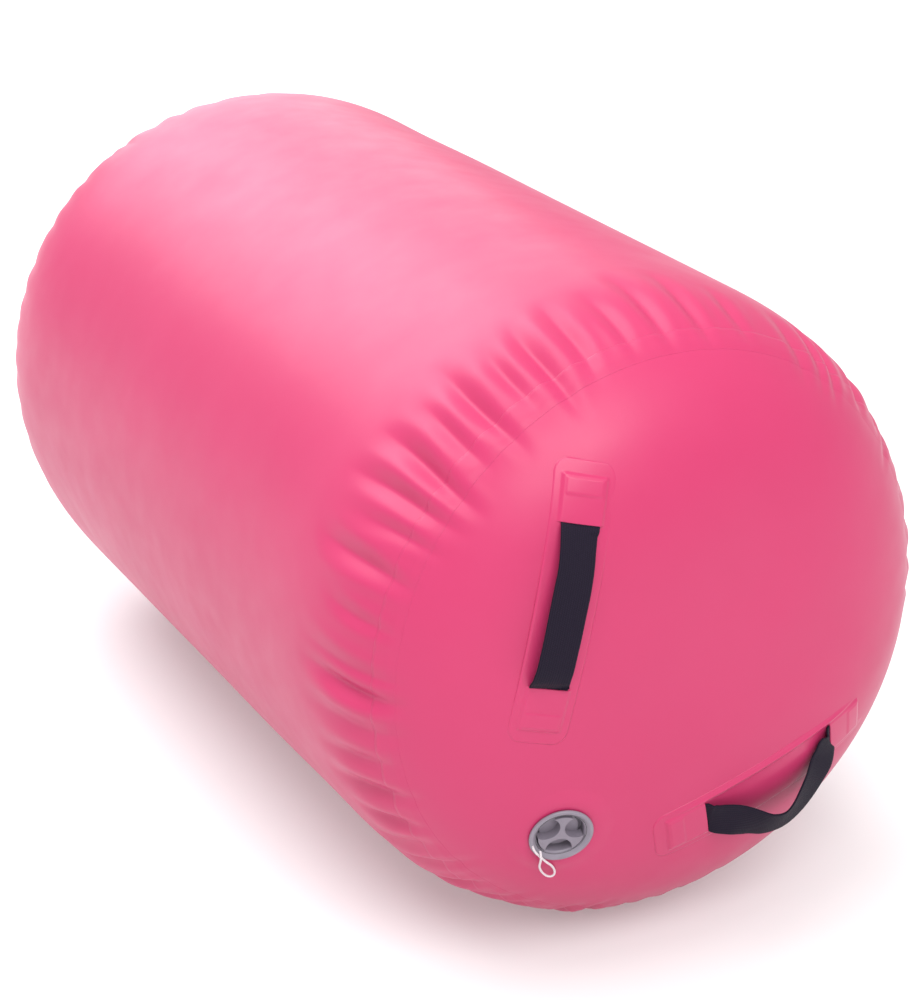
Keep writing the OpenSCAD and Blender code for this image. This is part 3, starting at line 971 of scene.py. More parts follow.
@dataclass
class RollSkin:
    """Side wall, end panels and welded seam tapes.

    Attributes:
        form: The roll's form.
        finishes: The materials.
        valve: The valve's frame, where the front panel is held flat.
        skin_t: Thickness of the coated fabric.
        tape_t: Thickness of the tapes.
        pressed_t: Thickness of the end tapes where the weld has pressed them.
        end_tape_w: Axial width of the end seam tapes.
        side_tape_w: Width of the side wall's own seam tape.
        side_seam_angle: Angle of that seam, in degrees.
        hole_r: Radius of the hole in the front panel.
        seat_r: Radius within which the front panel is held flat by the valve's flange.
    """

    form: RollForm
    finishes: Finishes
    valve: DomeFrame
    skin_t: float = 0.0012
    tape_t: float = 0.0008
    pressed_t: float = 0.0006
    end_tape_w: float = 0.020
    side_tape_w: float = 0.030
    side_seam_angle: float = -32.0
    hole_r: float = 0.0236
    seat_r: float = 0.0300

    def __post_init__(self) -> None:
        """Choose the mesh density."""
        self.round_steps = 900

    def angles(self) -> np.ndarray:
        """Angles round the roll at which the skin is meshed."""
        return np.linspace(0, math.tau, self.round_steps, endpoint=False)

    def build(self) -> list[bpy.types.Object]:
        """Returns: every piece of the skin."""
        pieces = [self.side_wall(), self.end_panel(End.FRONT), self.end_panel(End.REAR)]
        pieces += [self.end_tape(End.FRONT), self.end_tape(End.REAR), self.side_tape()]
        for piece in pieces:
            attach(piece, "root")
        return pieces

    def side_wall(self) -> bpy.types.Object:
        """The tube from seam to seam."""
        f = self.form
        near = np.linspace(f.seam_arc, f.seam_arc + 0.15, 76)
        along = np.linspace(f.seam_arc + 0.15, f.half_arc, 14)[1:]
        arcs = np.concatenate([near, along])
        angle = self.angles()[None, :]
        layers = []
        for lift in (0.0, -self.skin_t):
            front = f.points(angle, arcs[:, None], End.FRONT, lift)
            rear = f.points(angle, arcs[:-1][::-1, None], End.REAR, lift)
            layers.append(np.concatenate([front, rear]))
        wall = shell_mesh("side_wall_skin", layers[0], layers[1], wrap=True)
        self.finishes.dress(wall, Slot.SKIN)
        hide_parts("side_wall")
        return wall

    def hold_flat(self, points: np.ndarray, depth: float) -> np.ndarray:
        """Press the front panel flat under the valve's flange.

        Args:
            points: Points of the panel in the row frame.
            depth: How far under the flange's seat they belong.

        Returns:
            The pressed points.
        """
        v = self.valve
        local = (points - v.origin) @ v.axes
        radius = np.hypot(local[..., 0], local[..., 1])
        share = 1 - smoothstep(self.seat_r, self.seat_r + 0.020, radius)
        share = np.where(local[..., 2] > -0.05, share, 0.0)
        flat = -depth - 0.00005
        local[..., 2] += share * (flat - local[..., 2])
        return local @ v.axes.T + v.origin

    def end_panel(self, end: End) -> bpy.types.Object:
        """One domed end, from its apex to its seam.

        Args:
            end: Which end.

        Returns:
            The panel, with the valve's hole if it is the front one.
        """
        f = self.form
        middle = np.linspace(0.006, f.seam_arc - 0.07, 88)
        edge = np.linspace(f.seam_arc - 0.07, f.seam_arc, 34)[1:]
        arcs = np.concatenate([middle, edge])
        angle = self.angles()[None, :]
        top = f.points(angle, arcs[:, None], end)
        bottom = f.points(angle, arcs[:, None], end, -self.skin_t)
        keep = None
        name = "rear_end_skin"
        if end is End.FRONT:
            name = "front_end_skin"
            v = self.valve
            local = (top - v.origin) @ v.axes
            radius = np.where(local[..., 2] > -0.05, np.hypot(local[..., 0], local[..., 1]), 1.0)
            inside = radius < self.hole_r
            wrap_in = np.roll(inside, -1, axis=1)
            keep = ~(inside[:-1] | wrap_in[:-1] | inside[1:] | wrap_in[1:])
            top = self.hold_flat(top, 0.0)
            bottom = self.hold_flat(bottom, self.skin_t)
        tip = end.value * (f.shoulder + f.end_depth)
        apex = (
            np.array([0, tip, f.axis_h]),
            np.array([0, tip - end.value * self.skin_t, f.axis_h]),
        )
        panel = shell_mesh(name, top, bottom, wrap=True, keep=keep, apex=apex)
        fix_normals(panel)
        self.finishes.dress(panel, Slot.SKIN)
        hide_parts("front_end_panel" if end is End.FRONT else "rear_end_panel")
        return panel

    def end_tape(self, end: End) -> bpy.types.Object:
        """The tape welded over one end seam.

        Args:
            end: Which end.

        Returns:
            The tape.
        """
        f = self.form
        seam_y = float(np.interp(f.seam_arc, f.arc, f.arc_y))
        order = slice(None, None, -1)
        low = float(np.interp(seam_y + self.end_tape_w / 2, f.arc_y[order], f.arc[order]))
        high = float(np.interp(seam_y - self.end_tape_w / 2, f.arc_y[order], f.arc[order]))
        across = np.linspace(0, 1, 33)
        edge = np.minimum(across, 1 - across) * (high - low)
        ramp = np.where(across > 0.5, 0.0030, 0.0095)
        lift = 0.00003 + (self.pressed_t - 0.00003) * smoothstep(0.0, 1.0, edge / ramp)
        arcs = low + across * (high - low)
        angle = self.angles()[None, :]
        lifts = np.broadcast_to(lift[:, None], (len(arcs), self.round_steps))
        top = f.points(angle, arcs[:, None], end, lifts)
        bottom = f.points(angle, arcs[:, None], end, -0.0004)
        node = "front_seam_tape" if end is End.FRONT else "rear_seam_tape"
        tape = shell_mesh(f"{node}_band", top, bottom, wrap=True)
        fix_normals(tape)
        self.finishes.dress(tape, Slot.TAPE)
        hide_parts(node)
        return tape

    def side_tape(self) -> bpy.types.Object:
        """The tape welded over the side wall's own seam."""
        f = self.form
        half = self.side_tape_w / 2 / f.radius
        across = np.linspace(-1, 1, 25)
        angle = math.radians(self.side_seam_angle) + half * across
        edge = (1 - np.abs(across)) * self.side_tape_w / 2
        lift = 0.00005 + (self.tape_t - 0.00005) * smoothstep(0.0, 0.0012, edge)
        arcs = np.linspace(f.seam_arc + 0.012, f.half_arc, 90)
        layers = []
        for height in (lift, np.full_like(lift, -0.0004)):
            heights = np.broadcast_to(height[None, :], (len(arcs), len(angle)))
            front = f.points(angle[None, :], arcs[:, None], End.FRONT, heights)
            heights = heights[:-1]
            rear = f.points(angle[None, :], arcs[:-1][::-1, None], End.REAR, heights)
            layers.append(np.concatenate([front, rear]))
        tape = shell_mesh("side_seam_tape_band", layers[0], layers[1])
        fix_normals(tape)
        self.finishes.dress(tape, Slot.TAPE)
        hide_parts("side_seam_tape")
        return tape


# ---------------------------------------------------------------- handles


@dataclass(frozen=True)
class LoopStation:
    """One place along a handle, measured from the line between its slits, in millimetres.

    Attributes:
        share: Share of the distance from the first slit to the last.
        out: Height over that line.
        droop: Distance to the side, along minus y of the handle's frame.
        twist: Turn of the webbing's width out of the panel, in degrees.
        shift: Distance along x from that share.
    """

    share: float
    out: float
    droop: float = 0.0
    twist: float = 0.0
    shift: float = 0.0


@dataclass
class Handle:
    """A webbing handle and the patch that is welded over its tails.

    Attributes:
        name: "left" or "right".
        frame: The handle's frame, x along the line between its slits.
        finishes: The materials.
        stations: The loop between its slits.
        first: Sign of x of the first slit.
        crease: Whether the patch is creased beside the loop.
        web_w: Width of the webbing.
        web_t: Its thickness.
        grip_l: Distance between the slits.
        tail_l: Length of each tail.
        patch_w: Width of the patch.
        patch_l: Length of the patch.
        patch_t: Thickness of the patch.
        corner_r: Radius of the patch's corners.
    """

    name: str
    frame: DomeFrame
    finishes: Finishes
    stations: tuple[LoopStation, ...]
    first: int = 1
    crease: bool = False
    web_w: float = 0.034
    web_t: float = 0.0018
    grip_l: float = 0.142
    tail_l: float = 0.038
    patch_w: float = 0.054
    patch_l: float = 0.246
    patch_t: float = 0.0009
    corner_r: float = 0.014

    def build(self) -> list[bpy.types.Object]:
        """Returns: the patch and the webbing."""
        return [self.patch(), self.strap()]

    def patch(self) -> bpy.types.Object:
        """The welded patch, raised over the tails and open at the slits."""
        half_l = self.patch_l / 2
        slit = self.grip_l / 2
        base = np.linspace(0, half_l, 110)
        fine = np.concatenate([slit + np.linspace(-0.003, 0.003, 13), half_l - np.linspace(0, 0.016, 14)])
        xs = np.unique(np.round(np.concatenate([base, fine]), 6))
        xs = np.concatenate([-xs[::-1], xs[1:]])
        vs = np.linspace(-1, 1, 65)
        inset = np.clip(np.abs(xs) - (half_l - self.corner_r), 0, self.corner_r)
        width = self.patch_w / 2 - (self.corner_r - np.sqrt(np.clip(self.corner_r**2 - inset**2, 0, None)))
        x = np.broadcast_to(xs[:, None], (len(xs), len(vs)))
        y = width[:, None] * vs[None, :]
        edge = np.minimum(width[:, None] * (1 - np.abs(vs[None, :])), (half_l - np.abs(xs))[:, None])
        lift = 0.00003 + (self.patch_t - 0.00003) * smoothstep(0.0, 0.0016, edge)
        lift = lift + self.cover(x, y)
        if self.crease:
            between = 1 - smoothstep(slit - 0.014, slit - 0.002, np.abs(x))
            ridge = np.exp(-(((y - 0.0215) / 0.0022) ** 2))
            hollow = np.exp(-(((y - 0.0120) / 0.0070) ** 2)) * between
            fade = 1 - smoothstep(half_l - 0.045, half_l - 0.010, np.abs(x))
            lift = lift + fade * (0.0019 * ridge - 0.0004 * hollow)
        top = self.frame.drape(x, y, lift)
        bottom = self.frame.drape(x, y, -0.0006)
        patch = shell_mesh(f"{self.name}_handle_patch_skin", top, bottom)
        fix_normals(patch)
        self.finishes.dress(patch, Slot.PATCH)
        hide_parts(f"{self.name}_handle_patch")
        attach(patch, "root")
        return patch

    def cover(self, x: np.ndarray, y: np.ndarray) -> np.ndarray:
        """Rise of the patch over the tails, with a sharp step at each slit.

        Args:
            x: Places along the handle.
            y: Places across it.

        Returns:
            Extra height in metres.
        """
        past = np.abs(x) - self.grip_l / 2
        side = self.web_w / 2 + 0.0008 - np.abs(y)
        across = smoothstep(-0.0030, 0.0008, side)
        over_tail = 1 - smoothstep(self.tail_l, self.tail_l + 0.0028, past)
        rise = (self.web_t + 0.0002) * across * smoothstep(-0.0004, 0.0004, past) * over_tail
        fold = smoothstep(-0.002, 0.0002, side - 0.003)
        fold = fold * smoothstep(self.tail_l - 0.0155, self.tail_l - 0.0135, past)
        return rise + 0.0007 * fold * (1 - smoothstep(self.tail_l - 0.002, self.tail_l, past)) * across

    def lean(self, x: float) -> float:
        """Slope of the panel across the handle at one place along it, in radians."""
        rise = self.frame.height(x, 0.012) - self.frame.height(x, -0.012)
        return math.atan2(rise, 0.024)

    def centreline(self) -> tuple[np.ndarray, np.ndarray]:
        """The webbing's middle line and its twist, in the handle's frame.

        Returns:
            Rows of x, y, z in metres, and the twist at each in radians.
        """
        slit = self.grip_l / 2
        ends = [self.frame.height(self.first * s * slit, 0.0) for s in (1, -1)]
        leans = [self.lean(self.first * s * slit) for s in (1, -1)]
        rows = []
        tail = self.tail_l - 0.001
        for past in (tail, tail * 0.66, tail * 0.33, 0.0):
            x = self.first * (slit + past)
            rows.append((x, 0.0, self.frame.height(x, 0.0) + self.web_t * 0.55, self.lean(x)))
        for s in self.stations:
            line = ends[0] + (ends[1] - ends[0]) * s.share
            lean = leans[0] + (leans[1] - leans[0]) * s.share
            x = self.first * (slit - self.grip_l * s.share) + s.shift * MM
            rows.append((x, -s.droop * MM, line + s.out * MM, lean + math.radians(s.twist)))
        for past in (0.0, tail * 0.33, tail * 0.66, tail):
            x = -self.first * (slit + past)
            rows.append((x, 0.0, self.frame.height(x, 0.0) + self.web_t * 0.55, self.lean(x)))
        path = smooth_path(np.array(rows), 260)
        return path[:, :3], path[:, 3]

    def section(self, steps: int = 12) -> np.ndarray:
        """The webbing's section.

        Args:
            steps: Points across each face.

        Returns:
            Rows of place across and height, going round.
        """
        half = self.web_w / 2
        thick = self.web_t / 2
        flat = half - thick
        across = np.linspace(-flat, flat, steps)
        top = [(u, thick) for u in across]
        bottom = [(u, -thick) for u in across[::-1]]
        turns = [math.radians(a) for a in (45, 0, -45)]
        right = [(flat + thick * math.cos(a), thick * math.sin(a)) for a in turns]
        left = [(-flat - thick * math.cos(a), thick * math.sin(a)) for a in turns[::-1]]
        return np.array(top + right + bottom + left)

    def strap(self) -> bpy.types.Object:
        """The webbing: tail, loop and tail in one flat strap."""
        line, twist = self.centreline()
        ahead = np.gradient(line, axis=0)
        ahead /= np.linalg.norm(ahead, axis=1)[:, None]
        across = np.stack([np.zeros(len(line)), np.cos(twist), np.sin(twist)], axis=1)
        across -= (across * ahead).sum(axis=1)[:, None] * ahead
        across /= np.linalg.norm(across, axis=1)[:, None]
        up = np.cross(ahead, across)
        up *= np.sign(up[len(up) // 2, 2])
        ring = self.section()
        count, k = len(line), len(ring)
        points = (
            line[:, None, :] + ring[None, :, :1] * across[:, None, :] + ring[None, :, 1:] * up[:, None, :]
        )
        faces = grid_faces(count, k, wrap=True)
        faces.append(list(range(k))[::-1])
        faces.append([(count - 1) * k + j for j in range(k)])
        strap = new_mesh(f"{self.name}_handle_webbing", self.frame.at(points.reshape(-1, 3)), faces)
        run = np.concatenate([[0], np.cumsum(np.linalg.norm(np.diff(line, axis=0), axis=1))])
        log.info("%s handle: %.0f mm of webbing", self.name, run[-1] * 1000)
        place = [(float(u), 0.0) for u in ring[:, 0]]
        uv = []
        for face in faces:
            uv += [(place[v % k][0], float(run[v // k])) for v in face]
        map_uv(strap, uv)
        fix_normals(strap)
        self.finishes.dress(strap, Slot.WEBBING)
        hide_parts(f"{self.name}_handle_loop", f"{self.name}_handle_tails")
        start = Vector(self.frame.at(np.array([0, 0, self.frame.height(self.grip_l / 2, 0.0) + 0.0025])))
        start + self.frame.direction((0, 0, 0.010))
        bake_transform(strap)
        return strap


# ---------------------------------------------------------------- the valve


@dataclass
class Valve:
    """The inflation valve: flange, cap, poppet and tether.

    Attributes:
        frame: The valve's frame, z out of the panel.
        finishes: The materials.
        flange_r: Outside radius of the flange.
        recess_r: Radius of the recess.
        recess_z: Height of the recess floor.
        grip_r: Radius of the cap's grip.
        cap_top: Height of the grip's top.
        arm_angle: Angle of the first arm, in degrees.
        tether_d: Diameter of the tether.
        barrel_r: Radius of the threaded barrel.
        lower_r: Radius of the barrel below its thread.
        thread_z: Height of the thread's end.
        socket_r: Radius of the cap's socket.
        socket_z: Height of the socket's end.
        seat_r: Radius of the poppet's seat.
        seat_z: Height of the seat.
        plate_r: Radius of the cap's round plate.
        plug_z: Height of the plug's end.
        coil_r: Radius of the spring, to the middle of its wire.
        wire_r: Radius of the wire.
    """

    frame: DomeFrame
    finishes: Finishes
    flange_r: float = 0.0288
    recess_r: float = 0.0212
    recess_z: float = -0.010
    grip_r: float = 0.0205
    cap_top: float = 0.0020
    arm_angle: float = 343.0
    tether_d: float = 0.0020
    barrel_r: float = 0.0224
    lower_r: float = 0.0165
    thread_z: float = -0.0154
    socket_r: float = 0.0135
    socket_z: float = -0.0295
    seat_r: float = 0.0110
    seat_z: float = -0.0365
    plate_r: float = 0.0176
    plug_z: float = -0.0170
    coil_r: float = 0.0037
    wire_r: float = 0.0004

    # The tether's route in the valve's frame, in millimetres
    ROUTE: ClassVar[tuple[tuple[float, float, float], ...]] = (
        (23.5, -11.5, 1.5), (23.6, -11.5, 3), (24, -11, 4.6), (25, -8, 5.6), (26, -3, 5.6), (26.5, 2, 5.4),
        (27, 8, 5.2), (27.4, 14, 4.6), (28, 20, 3), (29.6, 26, 1), (32, 31.5, 0), (35, 34.8, -0.6),
        (38, 35, -0.8), (40, 32, -0.6), (40.2, 26.5, 0), (38.8, 20, 0.8), (36, 14, 2.4), (32.6, 9, 5),
        (29, 4.5, 7.4), (26, 1, 8.2), (23.6, -1.6, 6.6), (22.6, -2.8, 4.2),
    )

    def build(self, frame: dict) -> list[bpy.types.Object]:
        """Build the pieces that show and dress the CAD nodes inside.

        Args:
            frame: The loaded CAD frame.

        Returns:
            The built pieces.
        """
        for node, slot in (
            ("valve_gasket", Slot.RUBBER),
            ("valve_nut", Slot.VALVE),
            ("poppet_stem", Slot.VALVE),
            ("poppet_seal", Slot.RUBBER),
            ("cap_seal", Slot.RUBBER),
        ):
            self.finishes.dress_node(frame, node, slot)
            frame["nodes"][node].data.set_sharp_from_angle(angle=math.radians(35))
        return [self.housing(), self.cap(), self.doubler(), self.spring()]

    def housing(self) -> bpy.types.Object:
        """The flange, recess, socket and seat, with its spider."""
        r = self.recess_r
        f = self.flange_r
        corners = [
            (self.barrel_r, 0.0010, 0), (f, 0.0010, 0.0003), (f, 0.0026, 0.0009), (f - 0.0012, 0.0036, 0.0012),
            (f - 0.0030, 0.0035, 0.0010), (r, -0.0010, 0.0010), (r, self.recess_z, 0.0006),
            (self.socket_r, self.recess_z, 0.0006), (self.socket_r, self.socket_z, 0), (self.seat_r, -0.0303, 0),
            (self.seat_r, self.seat_z, 0), (self.lower_r, self.seat_z, 0.0004),
            (self.lower_r, self.thread_z, 0), (self.barrel_r, self.thread_z, 0.0004),
        ]
        profile = rounded_profile(corners)
        body = lathe("valve_housing", profile, self.frame, 144)
        body.data.set_sharp_from_angle(angle=math.radians(40))
        self.finishes.dress(body, Slot.VALVE)
        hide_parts("valve_body")
        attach(body, "root")
        spider = self.spider()
        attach(spider, "root")
        return body

    def spider(self) -> bpy.types.Object:
        """The three spokes and hub that guide the poppet's stem."""
        hub = [(0.0023, -0.0335), (0.0050, -0.0335), (0.0050, -0.0300), (0.0023, -0.0300)]
        spider = lathe("valve_spider", hub, self.frame, 48)
        points, faces = [], []
        for i in range(3):
            a = math.radians(60 + 120 * i)
            c, s = math.cos(a), math.sin(a)
            start = len(points)
            for z in (-0.0335, -0.0315):
                for x, y in ((0.0046, -0.0012), (0.0116, -0.0012), (0.0116, 0.0012), (0.0046, 0.0012)):
                    points.append((c * x - s * y, s * x + c * y, z))
            box = [[0, 3, 2, 1], [4, 5, 6, 7], [0, 1, 5, 4], [1, 2, 6, 5], [2, 3, 7, 6], [3, 0, 4, 7]]
            faces += [[start + v for v in face] for face in box]
        spokes = new_mesh("valve_spokes", self.frame.at(np.array(points)), faces, smooth=False)
        join_into(spider, spokes)
        round_edges(spider, 0.0002, 2)
        self.finishes.dress(spider, Slot.VALVE)
        return spider

    def grip_outline(self) -> np.ndarray:
        """Outline of the grip: three arms with T-shaped ends, and round pockets between them.

        Returns:
            Rows of x and y, going round, in metres.
        """
        scoop_at = self.grip_r * 0.8
        scoop_r = self.grip_r * 0.585
        meet = math.acos((self.grip_r**2 + scoop_at**2 - scoop_r**2) / (2 * self.grip_r * scoop_at))
        first = np.array([self.grip_r * math.cos(meet) - scoop_at, -self.grip_r * math.sin(meet)])
        turn = math.atan2(first[1], first[0])
        parts = []
        for i in range(3):
            middle = math.radians(self.arm_angle + 60 + 120 * i)
            t = np.linspace(turn, -math.tau - turn, 70)
            pocket = np.stack([scoop_at + scoop_r * np.cos(t), scoop_r * np.sin(t)], axis=1)
            t = np.linspace(meet, math.radians(120) - meet, 40)[1:-1]
            tip = self.grip_r * np.stack([np.cos(t), np.sin(t)], axis=1)
            c, s = math.cos(middle), math.sin(middle)
            parts.append(np.concatenate([pocket, tip]) @ np.array([[c, s], [-s, c]]))
        outline = np.concatenate(parts)
        closed = np.concatenate([outline, outline[:1]])
        length = np.concatenate([[0], np.cumsum(np.linalg.norm(np.diff(closed, axis=0), axis=1))])
        at = np.linspace(0, length[-1], 421)[:-1]
        even = np.stack([np.interp(at, length, closed[:, k]) for k in range(2)], axis=1)
        kernel = np.hanning(7)
        kernel /= kernel.sum()
        padded = np.concatenate([even[-3:], even, even[:3]])
        return np.stack([np.convolve(padded[:, k], kernel, mode="valid") for k in range(2)], axis=1)

    def cap(self) -> bpy.types.Object:
        """The screw cap: plug, round plate and three-armed grip."""
        outline = self.grip_outline()
        count = len(outline)
        plate_z = self.recess_z + 0.0014
        levels = (plate_z + 0.0015, self.cap_top)
        points = [np.column_stack([outline, np.full(count, z)]) for z in levels]
        faces = grid_faces(2, count, wrap=True)
        faces.append([count + j for j in range(count)])
        faces.append(list(range(count))[::-1])
        grip = new_mesh("valve_cap_grip", self.frame.at(np.concatenate(points)), faces)
        plug = [
            (0.0, self.plug_z, 0), (0.0132, self.plug_z, 0.0008), (0.0132, plate_z, 0),
            (self.plate_r, plate_z, 0.0004), (self.plate_r, plate_z + 0.0020, 0.0007), (0.0, plate_z + 0.0020, 0),
        ]
        profile = rounded_profile(plug)
        profile[0] = (0.0002, profile[0][1])
        profile[-1] = (0.0002, profile[-1][1])
        base = lathe("valve_cap_plug", profile, self.frame, 120)
        join_into(grip, base)
        fix_normals(grip)
        round_edges(grip, 0.0009, 3, 40.0)
        self.finishes.dress(grip, Slot.CAP)
        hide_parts("valve_cap")
        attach(grip, "cap")
        return grip

    def doubler(self) -> bpy.types.Object:
        """The doubler welded inside the skin round the valve."""
        radius = np.linspace(0.0228, 0.045, 12)[:, None]
        angle = np.linspace(0, math.tau, 96, endpoint=False)[None, :]
        x, y = radius * np.cos(angle), radius * np.sin(angle)
        layers = []
        for depth in (-0.00125, -0.0022):
            draped = (self.frame.drape(x, y, depth) - self.frame.origin) @ self.frame.axes
            share = 1 - smoothstep(0.030, 0.050, np.broadcast_to(radius, x.shape))
            draped[..., 2] += share * (depth - draped[..., 2])
            layers.append(self.frame.at(draped))
        disc = shell_mesh("valve_doubler_disc", layers[0], layers[1], wrap=True)
        fix_normals(disc)
        self.finishes.dress(disc, Slot.SKIN)
        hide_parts("valve_doubler")
        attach(disc, "root")
        return disc

    def spring(self) -> bpy.types.Object:
        """The poppet's coil spring."""
        low, high = -0.02955, -0.02005
        turns, sides = 5, 8
        a = np.linspace(0, math.tau * turns, 240)[:, None]
        b = np.linspace(0, math.tau, sides, endpoint=False)[None, :]
        r = self.coil_r + self.wire_r * np.cos(b)
        z = low + (high - low) * a / a[-1] + self.wire_r * np.sin(b)
        points = np.stack([r * np.cos(a), r * np.sin(a), z], axis=-1).reshape(-1, 3)
        faces = grid_faces(len(a), sides, wrap=True)
        faces.append(list(range(sides))[::-1])
        faces.append([(len(a) - 1) * sides + j for j in range(sides)])
        spring = new_mesh("poppet_coil_spring", self.frame.at(points), faces)
        fix_normals(spring)
        self.finishes.dress(spring, Slot.STEEL)
        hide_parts("poppet_spring")
        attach(spring, "root")
        foot = Vector(self.frame.at(np.array([0, 0, low - self.wire_r])))
        tuple(self.frame.direction((0, 0, 1)))
        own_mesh(spring)
        return spring

    def tether(self) -> bpy.types.Object:
        """The braided cord from the flange to the cap, in a loop that hangs beside the valve."""
        route = self.frame.at(np.array(self.ROUTE) * MM)
        path = smooth_path(route, 120)
        length = float(np.linalg.norm(np.diff(path, axis=0), axis=1).sum())
        sides = 12
        tangent = np.gradient(path, axis=0)
        tangent /= np.linalg.norm(tangent, axis=1)[:, None]
        side = np.cross(tangent[0], [0, 0, 1.0])
        points = []
        for p, d in zip(path, tangent):
            side = side - d * (side @ d)
            side /= np.linalg.norm(side)
            other = np.cross(d, side)
            for j in range(sides):
                a = math.tau * j / sides
                points.append(p + self.tether_d / 2 * (math.cos(a) * side + math.sin(a) * other))
        faces = grid_faces(len(path), sides, wrap=True)
        faces.append(list(range(sides))[::-1])
        faces.append([(len(path) - 1) * sides + j for j in range(sides)])
        cord = new_mesh("cap_tether_cord", np.array(points), faces)
        run = np.linspace(0, length, len(path))
        uv = []
        for face in faces:
            columns = [v % sides for v in face]
            wraps = len(face) == 4 and max(columns) - min(columns) > 1
            for v, column in zip(face, columns):
                turn = 1.0 if wraps and column == 0 else column / sides
                uv.append((turn, float(run[v // sides])))
        map_uv(cord, uv)
        fix_normals(cord)
        self.finishes.dress(cord, Slot.CORD)
        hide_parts("cap_tether")
        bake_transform(cord)
        log.info("tether: %.1f mm long, %.1f mm thick", length * 1000, self.tether_d * 1000)
        return cord


# ---------------------------------------------------------------- studio


@dataclass
class Studio:
    """Camera, lights and floor.

    Attributes:
        centre: The roll's middle.
        distance: Distance from the camera to the point it looks at.
        azimuth: Direction of the camera round the roll, in degrees.
        elevation: Its height, in degrees.
        shift_right: Distance of the point looked at to the right of the middle.
        shift_up: Distance of that point above the middle.
        lens: Focal length in millimetres.
    """

    centre: tuple[float, float, float] = (0.0, 0.0, 0.2985)
    distance: float = 2.581
    azimuth: float = -28.11
    elevation: float = 23.22
    shift_right: float = 0.0441
    shift_up: float = -0.0426
    lens: float = 90.0

    def camera(self) -> bpy.types.Object:
        """Returns: the scene's camera."""
        az, el = math.radians(self.azimuth), math.radians(self.elevation)
        back = Vector((math.sin(az) * math.cos(el), -math.cos(az) * math.cos(el), math.sin(el)))
        right = Vector((math.cos(az), math.sin(az), 0))
        up = back.cross(right)
        target = Vector(self.centre) + right * self.shift_right + up * self.shift_up
        data = bpy.data.cameras.new("camera")
        data.lens = self.lens
        data.sensor_width = 36.0
        data.clip_start = 0.05
        data.clip_end = 60.0
        obj = bpy.data.objects.new("camera", data)
        obj.location = target + back * self.distance
        obj.rotation_euler = back.to_track_quat("Z", "Y").to_euler()
        bpy.context.scene.collection.objects.link(obj)
        bpy.context.scene.camera = obj
        return obj

    def lamp(self, name: str, at: tuple, size: float, power: float, colour: tuple = (1, 1, 1)) -> None:
        """Add a soft area light aimed at the roll.

        Args:
            name: The light's name.
            at: Its place.
            size: Side of the square light in metres.
            power: Watts.
            colour: Its colour.
        """
        data = bpy.data.lights.new(name, "AREA")
        data.shape = "DISK"
        data.size = size
        data.energy = power
        data.color = colour
        obj = bpy.data.objects.new(name, data)
        obj.location = at
        aim = Vector(at) - Vector(self.centre)
        obj.rotation_euler = aim.to_track_quat("Z", "Y").to_euler()
        bpy.context.scene.collection.objects.link(obj)

    def light(self) -> None:
        """Light the scene: a large soft key from the upper left, a fill and a bright surround."""
        self.lamp("back_top_light", (-0.7, 2.6, 2.7), 2.8, 72.0, (0.97, 0.93, 1.0))
        self.lamp("back_low_light", (0.9, 3.3, 1.6), 2.4, 26.0)
        self.lamp("front_fill", (-0.5, -2.7, 2.8), 2.4, 88.0)
        sun = bpy.data.lights.new("high_sun", "SUN")
        sun.energy = 2.0
        sun.angle = math.radians(50)
        lamp = bpy.data.objects.new("high_sun", sun)
        lamp.rotation_euler = Vector((-0.25, 0.15, 1.0)).to_track_quat("Z", "Y").to_euler()
        bpy.context.scene.collection.objects.link(lamp)
        world = bpy.data.worlds.new("bright_surround")
        world.use_nodes = True
        nodes = world.node_tree.nodes
        nodes["Background"].inputs["Color"].default_value = (1, 1, 1, 1)
        nodes["Background"].inputs["Strength"].default_value = 0.68
        bpy.context.scene.world = world

    def floor(self) -> bpy.types.Object:
        """A wide, plain, pale floor."""
        points = np.array([(-30, -30, 0), (30, -30, 0), (30, 30, 0), (-30, 30, 0)], float)
        floor = new_mesh("studio_floor", points, [[0, 1, 2, 3]], smooth=False)
        t = NodeTree("studio_floor_paint")
        t.set(Base_Color=rgba(0.62, 0.62, 0.62), Roughness=0.9, Specular_IOR_Level=0.1)
        t.set(Emission_Color=rgba(1, 1, 1), Emission_Strength=0.26)
        floor.data.materials.append(t.material)
        return floor


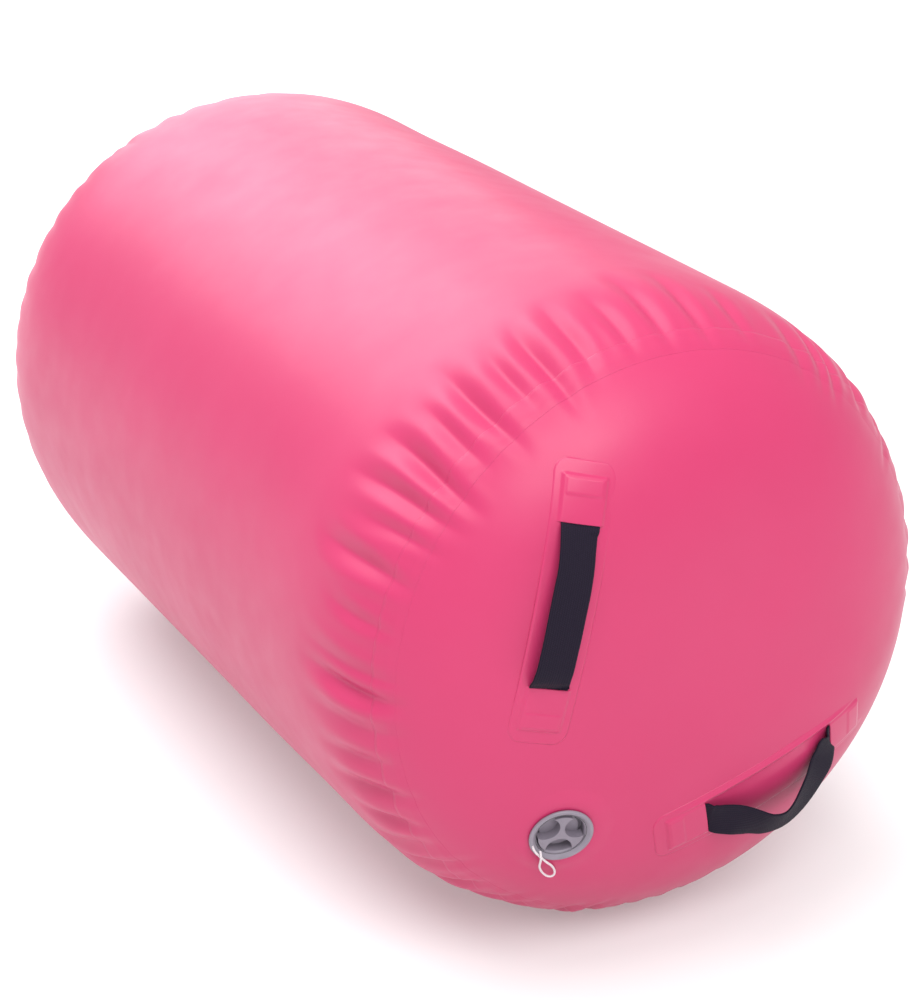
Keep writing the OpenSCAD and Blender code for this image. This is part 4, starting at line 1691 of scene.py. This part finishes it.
LEFT_LOOP = (
    LoopStation(0.02, 2.9, -0.4, 5), LoopStation(0.05, 5.2, -1.0, 10), LoopStation(0.14, 9.4, -0.9, 13),
    LoopStation(0.25, 13.2, -0.6, 12), LoopStation(0.38, 15.9, -1.4, 8), LoopStation(0.51, 17.5, -2.3, 7),
    LoopStation(0.64, 18.0, -2.7, 7), LoopStation(0.76, 17.4, -3.0, 7), LoopStation(0.86, 15.6, -3.0, 6),
    LoopStation(0.93, 12.0, -3.0, 5), LoopStation(0.965, 7.2, -2.2, 4), LoopStation(0.987, 3.2, -1.0, 2),
)

RIGHT_LOOP = (
    LoopStation(0.02, 3.6, 1.0, 0, 0.3), LoopStation(0.06, 8.0, 4.0, -5, 1.0),
    LoopStation(0.14, 14.2, 9.0, -6, 1.8), LoopStation(0.24, 19.7, 17.5, 6, 1.0),
    LoopStation(0.34, 24.4, 26.3, 17, 0.0), LoopStation(0.44, 25.9, 31.0, 21, -0.6),
    LoopStation(0.54, 24.1, 32.1, 15, -1.0), LoopStation(0.64, 20.5, 30.0, 6, -1.2),
    LoopStation(0.74, 16.1, 25.4, -2, -1.1), LoopStation(0.83, 11.5, 19.2, -9, -0.9),
    LoopStation(0.90, 8.0, 12.2, -12, -0.7), LoopStation(0.95, 4.9, 5.3, -8, -0.6),
    LoopStation(0.982, 2.9, 1.4, -2, -0.2),
)


def main() -> None:
    """Build the roll in order, and report each piece."""
    logging.basicConfig(level=logging.INFO, format="%(message)s")
    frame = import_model()
    form = RollForm()
    finishes = Finishes()
    finishes.build()
    studio = Studio()
    studio.camera()
    bpy.context.scene.view_settings.view_transform = "Standard"
    valve = Valve(DomeFrame(form, 0.189, 225.0), finishes)
    valve.tether()
    pieces = RollSkin(form, finishes, valve.frame).build()
    left_at = DomeFrame(form, 0.162, 148.0, -71.5)
    right_at = DomeFrame(form, 0.151, 300.5, 76.0)
    pieces += Handle("left", left_at, finishes, LEFT_LOOP).build()
    pieces += Handle("right", right_at, finishes, RIGHT_LOOP, first=-1, crease=True).build()
    pieces += valve.build(frame)
    studio.light()
    studio.floor()
    for piece in pieces:
        log.info("%s: %d vertices", piece.name, len(piece.data.vertices))


if __name__ == "__main__":
    main()
